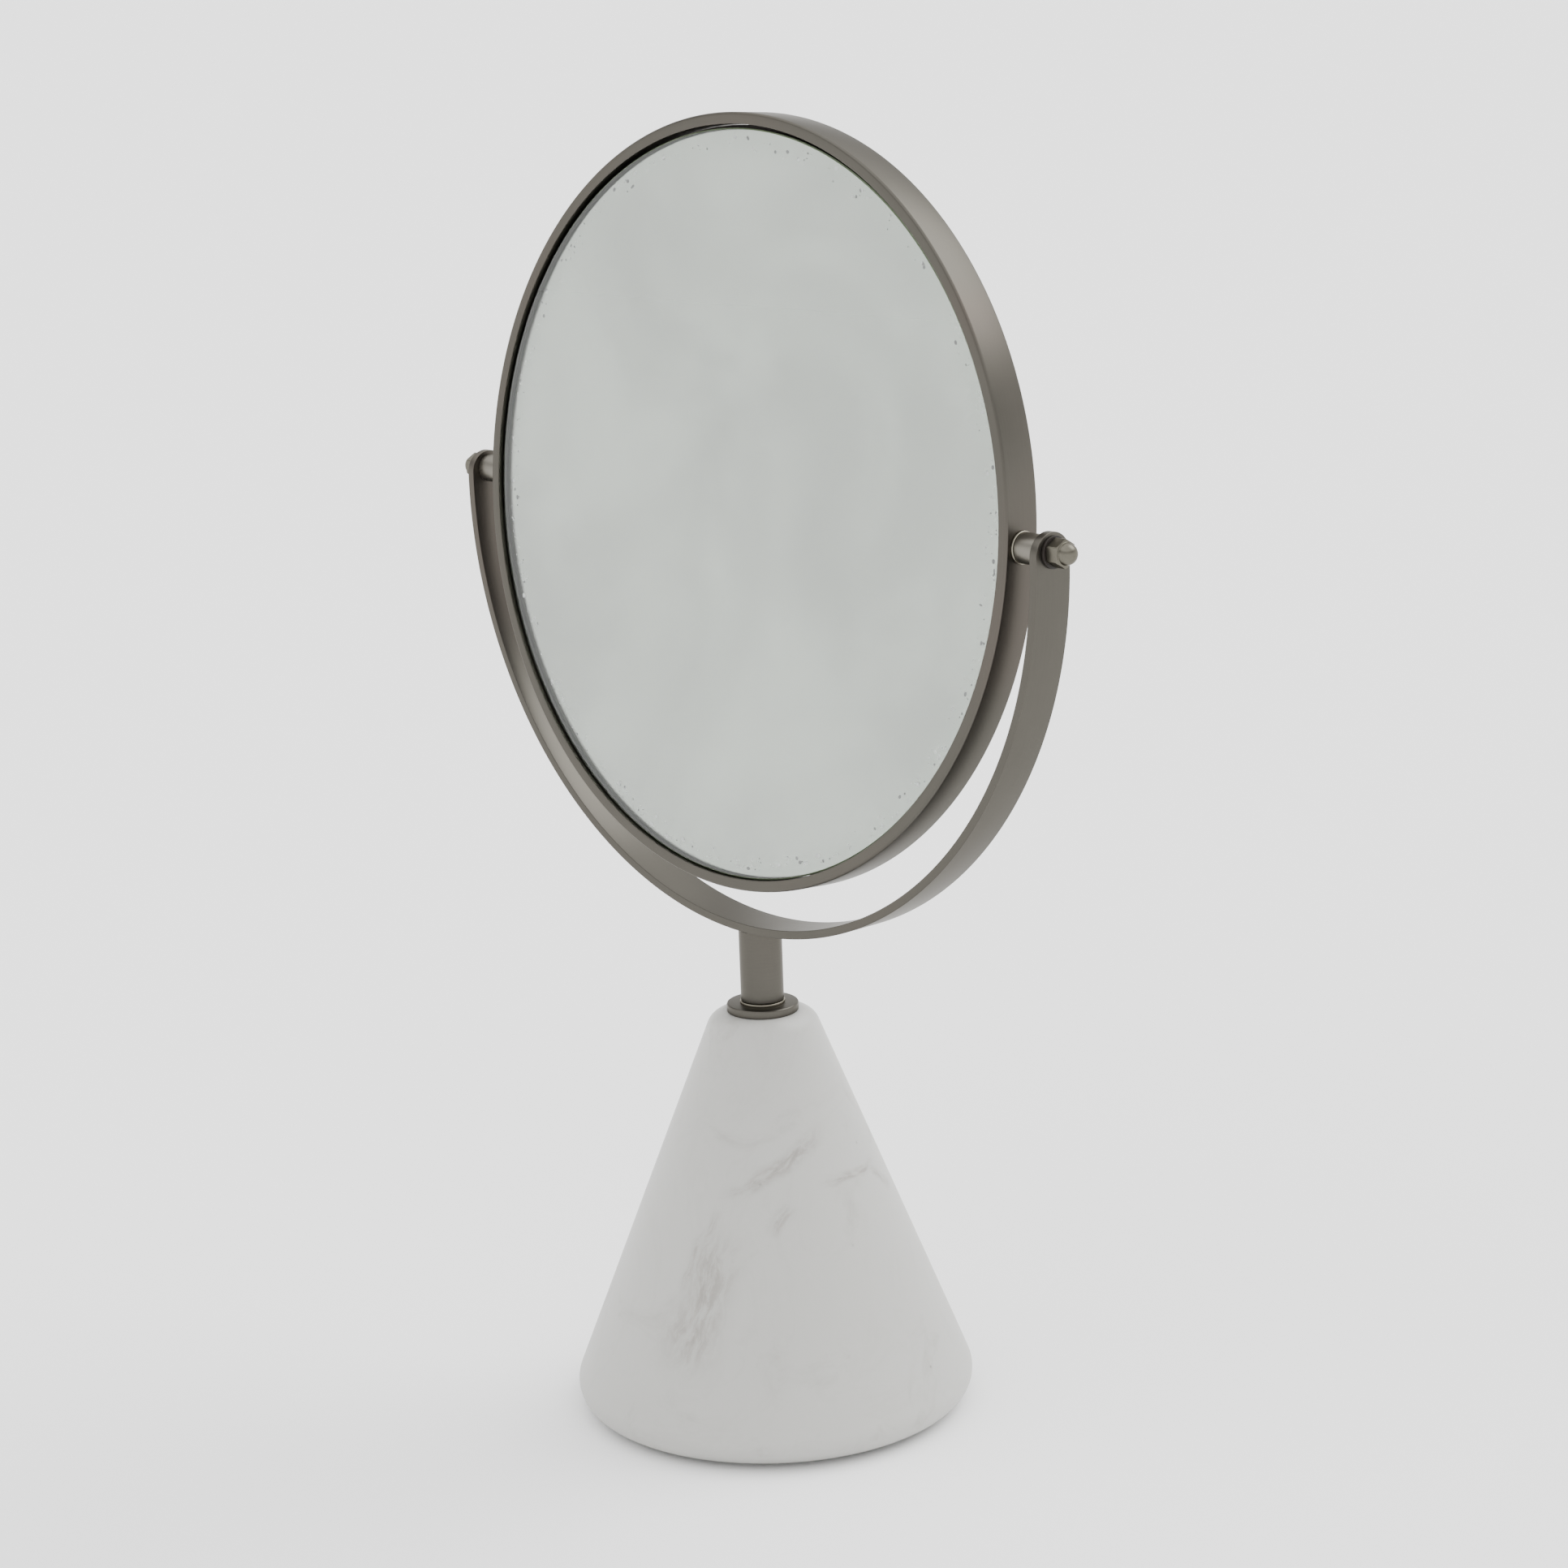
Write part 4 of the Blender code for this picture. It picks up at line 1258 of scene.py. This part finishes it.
class MIRROR_OT_yoke(bpy.types.Operator):
    """Make the yoke's bent bar."""

    bl_idname = "mirror.yoke"
    bl_label = "Yoke"

    def execute(self, context):
        """Bend the bar and drill its ends for the bushes."""
        bar = Bar()
        matrix = placed((0.0, 0.0, bar.centre), (0.0, 1.0, 0.0))
        colour = tuple(context.scene.mirror_colours.nickel)
        nickel = satin_nickel("satin_nickel_yoke", colour, matrix, bar.outside)
        piece = piece_of(
            bent_bar(bar, context.scene.mirror_sizes.bar_edge), "yoke_bar", Matrix.Identity(4), nickel
        )
        bush = Turned("pivot_bush_right", on_pivot(1))
        hole = drill("bush_holes", bush.widest_at(bush.low) + CLOSE, 4 * bar.outside, on_pivot(1))
        fit(carve(piece, hole), "yoke", "satin_nickel", "yoke_strap")
        return {"FINISHED"}


class MIRROR_OT_ring(bpy.types.Operator):
    """Make the ring round the mirror."""

    bl_idname = "mirror.ring"
    bl_label = "Ring"

    def execute(self, context):
        """Run the ring's section round its circle and drill it for the studs."""
        colour = tuple(context.scene.mirror_colours.nickel)
        ring = Turned("mirror_ring", on_glass(1))
        nickel = satin_nickel("satin_nickel_ring", colour, on_glass(-1), ring.radius)
        piece = bar_ring("mirror_rim", context.scene.mirror_sizes, nickel)
        stud = Turned("pivot_stud_right", on_pivot(1))
        hole = drill("stud_holes", stud.radius + CLOSE, 4 * ring.radius, on_pivot(1))
        fit(carve(piece, hole), "mirror", "satin_nickel", "mirror_ring")
        return {"FINISHED"}


class MIRROR_OT_glass(bpy.types.Operator):
    """Make both glasses, with their silver coats and worn flecks."""

    bl_idname = "mirror.glass"
    bl_label = "Glasses"

    def execute(self, context):
        """Cut the glasses, coat them, and scatter the flecks."""
        sizes, colours = context.scene.mirror_sizes, context.scene.mirror_colours
        clear, worn = clear_glass(colours), fleck_finish()
        ground = ground_glass("ground_glass_edge", tuple(colours.ground_glass))
        # painted highlight: the front arris gets a lighter copy of the ground edge's glass
        painted_highlight_arris = ground_glass("ground_glass_arris_painted_highlight", shaded(colours.ground_glass, ARRIS_PAINTED_HIGHLIGHT))
        for index, (face, direction) in enumerate(FACES):
            node = face + "_glass"
            leaning = on_glass(direction)
            drop = leaning.inverted() @ middle(node)
            centred = leaning @ Matrix.Translation((drop.x, drop.y, 0.0))
            size = Turned(node, centred)
            coat = size.low + sizes.silver_thickness
            shine = silver_finish("silver_" + face, colours, centred, size.radius)
            mesh = disc(
                size.radius - sizes.glass_arris, size.low, coat, sizes.silver_thickness / 4, BIG_TURN
            )
            piece = piece_of(mesh, "silver_coat_" + face, centred, shine)
            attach(piece, "mirror")

            flecks = rim_flecks(
                "worn_flecks_" + face, size.radius - sizes.glass_arris,
                coat + FLECK_DEPTH, centred, sizes, FLECK_SEED + index, worn,
            )
            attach(flecks, "mirror")

            back = coat + GLASS_BOND
            edge = sizes.glass_arris
            outline = [
                Vector(point) for point in (
                    (0.0, size.high), (size.radius - edge, size.high), (size.radius, size.high - edge),
                    (size.radius, back + edge), (size.radius - edge, back), (0.0, back),
                )
            ]
            piece = piece_of(
                revolve(outline, BIG_TURN, False), "glass_" + face, centred, clear, ground, painted_highlight_arris
            )
            out = centred.to_3x3() @ UP
            for polygon in piece.data.polygons:
                facing = polygon.normal.dot(out)
                if abs(facing) > FLAT_SHARE:
                    polygon.material_index = CLEAR
                elif facing > ARRIS_SHARE:
                    polygon.material_index = PAINTED_ARRIS
                else:
                    polygon.material_index = GROUND
            fit(piece, "mirror", "mirror_glass", node)
        return {"FINISHED"}


class MIRROR_OT_core(bpy.types.Operator):
    """Finish the core board and the foam pads between the glasses."""

    bl_idname = "mirror.core"
    bl_label = "Core"

    def execute(self, context):
        """Give the frame's own pieces their stuff."""
        colours = context.scene.mirror_colours
        board = fibre_finish("black_board", tuple(colours.board), 900.0, 0.8)
        foam = fibre_finish("adhesive_foam", tuple(colours.foam), 2200.0, 0.9)
        stuffs = {"core_board": board, "front_foam_pad": foam, "back_foam_pad": foam}
        for node, stuff in stuffs.items():
            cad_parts[node].material_slots[0].material = stuff
        return {"FINISHED"}


class MIRROR_OT_pivots(bpy.types.Operator):
    """Make the studs, washers, spacers, bushes and cap nuts of both pivots."""

    bl_idname = "mirror.pivots"
    bl_label = "Pivots"

    def execute(self, context):
        """Fit out both sides."""
        sizes, colours = context.scene.mirror_sizes, context.scene.mirror_colours
        zinc = bright_metal("zinc_stud", tuple(colours.zinc), 0.36)
        nylon = nylon_finish(colours)
        edge = sizes.small_edge
        bar = Bar()
        for side, direction in SIDES:
            axis = on_pivot(direction)
            colour = tuple(colours.bright_nickel)
            bright = bright_metal("bright_nickel_" + side, colour, 0.24, axis)
            # painted highlight: the thin washers get a lighter copy of the bright nickel
            painted_highlight_nickel = bright_metal("bright_washer_" + side, shaded(colour, WASHER_PAINTED_HIGHLIGHT), 0.28, axis)
            # painted light: the spacers get a lighter copy of the satin nickel
            nickel = satin_nickel(
                "satin_nickel_spacer_" + side, shaded(colours.nickel, SPACER_PAINTED_LIGHT), axis,
                reach=0.004, roughness=0.36,
            )
            stud = threaded_rod("threaded_stud_" + side, "pivot_stud_" + side, axis, sizes.stud_pitch, zinc)
            fit(stud, "mirror", "zinc_steel", "pivot_stud_" + side)

            ring = Turned("mirror_ring", axis)
            washer = Turned("ring_washer_" + side, axis)
            foot = ring.high + CLOSE
            piece = collar("thin_washer_" + side, washer, axis, painted_highlight_nickel, edge, SMALL_TURN, foot)
            fit(piece, "mirror", "bright_nickel", "ring_washer_" + side)

            spacer = Turned("spacer_" + side, axis)
            piece = collar(
                "spacer_tube_" + side, spacer, axis, nickel, edge, SMALL_TURN,
                washer.high + CLOSE, bar.inside - CLOSE,
            )
            fit(piece, "mirror", "satin_nickel", "spacer_" + side)

            bush = Turned("pivot_bush_" + side, axis)
            barrel = bush.widest_at(bush.low)
            corners = [
                (bush.radius, bush.high, edge / 2), (bush.radius, bar.outside + CLOSE, edge / 2),
                (barrel, bar.outside + CLOSE, 0), (barrel, bush.low, edge / 2),
                (bush.bore, bush.low, 0), (bush.bore, bush.high, 0),
            ]
            piece = piece_of(revolve(rounded(corners), SMALL_TURN), "flanged_bush_" + side, axis, nylon)
            fit(piece, "yoke", "dark_nylon", "pivot_bush_" + side)

            cap = Turned("cap_nut_" + side, axis)
            piece = cap_nut("domed_nut_" + side, cap, bush.high + CLOSE, edge, axis, bright)
            fit(piece, "mirror", "bright_nickel", "cap_nut_" + side)
        return {"FINISHED"}


def cap_nut(name, cap, seat, edge, axis, material):
    """Make a domed hexagonal nut: flats below, a neck, and a half round above."""
    flats = flats_of(cap.radius)
    drop = chamfer_drop(flats)
    face = flats / 2 * FACE_SHARE
    shoulder = max(level for radius, level in cap.points if radius > face - 4 * CLOSE)
    dome = max(radius for radius, level in cap.points if level > shoulder + CLOSE)
    bore = cap.narrowest_at(cap.low)
    depth = cap.span_of(bore)[1]
    crown = arc((0.0, cap.high - dome), dome, math.pi / 2, 0.0, 2 * FILLET_STEPS)
    corners = [(point.x, point.y, 0) for point in crown] + [
        (dome, shoulder, edge), (face, shoulder, 0), (cap.radius, shoulder - drop, 0),
        (cap.radius, seat + drop / 2, 0), (face, seat, 0), (bore, seat, 0), (bore, depth, 0),
        (0.0, depth, 0),
    ]
    return nut(name, corners, flats, seat, cap.high, axis, material)


class MIRROR_OT_stage(bpy.types.Operator):
    """Lay the floor, set the lights and place the camera."""

    bl_idname = "mirror.stage"
    bl_label = "Stage"

    def execute(self, context):
        """Make the surroundings, which aren't part of the mirror."""
        stage = context.scene.mirror_stage
        bm = bmesh.new()
        bmesh.ops.create_circle(bm, cap_ends=True, segments=BIG_TURN, radius=stage.floor_radius)
        level = CAD_BOX[0].z - CLOSE
        mesh = bpy.data.meshes.new("floor")
        bmesh.ops.translate(bm, vec=(0.0, 0.0, level), verts=bm.verts)
        bm.to_mesh(mesh)
        bm.free()
        mesh.materials.append(floor_finish(tuple(stage.floor_colour)))
        floor = bpy.data.objects.new("floor", mesh)
        context.scene.collection.objects.link(floor)

        world = bpy.data.worlds.new("even_light")
        world.use_nodes = True
        backdrop = world.node_tree.nodes["Background"]
        backdrop.inputs["Color"].default_value = (1.0, 1.0, 1.0, 1.0)
        blank = Signal(world.node_tree)
        way = blank.node("ShaderNodeTexCoord", output="Generated")
        climb = blank.node("ShaderNodeSeparateXYZ", None, {"Vector": way}, "Z").rise(SKY_FOOT, SKY_TOP)
        strength = stage.horizon_strength + climb * (stage.sky_strength - stage.horizon_strength)
        world.node_tree.links.new(strength.socket, backdrop.inputs["Strength"])
        context.scene.world = world

        strengths = {"overhead": stage.overhead_strength, "back": stage.back_strength}
        for name, (direction, width) in LAMPS.items():
            lamp = bpy.data.lights.new(name, "SUN")
            lamp.energy = strengths[name]
            lamp.angle = width
            sun = bpy.data.objects.new(name, lamp)
            sun.matrix_world = placed((0.0, 0.0, 0.0), direction)
            context.scene.collection.objects.link(sun)

        data = bpy.data.cameras.new("camera")
        data.lens = stage.lens
        data.clip_end = 4 * stage.floor_radius
        camera = bpy.data.objects.new("camera", data)
        context.scene.collection.objects.link(camera)
        low, level = math.cos(stage.elevation), math.sin(stage.elevation)
        back = Vector((math.sin(stage.azimuth) * low, -math.cos(stage.azimuth) * low, level))
        target = PIVOT + Vector(stage.target)
        look = (-back).to_track_quat("-Z", "Y").to_matrix().to_4x4()
        place = Matrix.Translation(target + back * stage.distance)
        camera.matrix_world = place @ look @ Matrix.Rotation(stage.roll, 4, "Z")
        context.scene.camera = camera
        return {"FINISHED"}


class MIRROR_PT_panel(bpy.types.Panel):
    """Buttons and sizes of the table mirror."""

    bl_label = "Table Mirror"
    bl_space_type = "VIEW_3D"
    bl_region_type = "UI"
    bl_category = "Table Mirror"

    def draw(self, context):
        """List the operators, then every size and colour."""
        column = self.layout.column()
        for operator in OPERATORS:
            column.operator(operator.bl_idname)
        for group in (
            context.scene.mirror_sizes, context.scene.mirror_colours, context.scene.mirror_stage
        ):
            box = self.layout.box().column()
            for name in group.bl_rna.properties.keys():
                if name not in ("rna_type", "name"):
                    box.prop(group, name)


GROUPS = (MirrorSizes, MirrorColours, MirrorStage)
OPERATORS = (
    MIRROR_OT_stage, MIRROR_OT_marble, MIRROR_OT_felt, MIRROR_OT_stem, MIRROR_OT_clamp,
    MIRROR_OT_yoke, MIRROR_OT_ring, MIRROR_OT_glass, MIRROR_OT_core, MIRROR_OT_pivots,
)


def register():
    """Register the groups, the operators and the panel."""
    for kind in GROUPS + OPERATORS + (MIRROR_PT_panel,):
        bpy.utils.register_class(kind)
    bpy.types.Scene.mirror_sizes = bpy.props.PointerProperty(type=MirrorSizes)
    bpy.types.Scene.mirror_colours = bpy.props.PointerProperty(type=MirrorColours)
    bpy.types.Scene.mirror_stage = bpy.props.PointerProperty(type=MirrorStage)


def unregister():
    """Remove what register added."""
    del bpy.types.Scene.mirror_sizes
    del bpy.types.Scene.mirror_colours
    del bpy.types.Scene.mirror_stage
    for kind in reversed(GROUPS + OPERATORS + (MIRROR_PT_panel,)):
        bpy.utils.unregister_class(kind)


def main():
    """Build everything in order."""
    register()
    for operator in OPERATORS:
        group, name = operator.bl_idname.split(".")
        getattr(getattr(bpy.ops, group), name)()


if __name__ == "__main__":
    main()
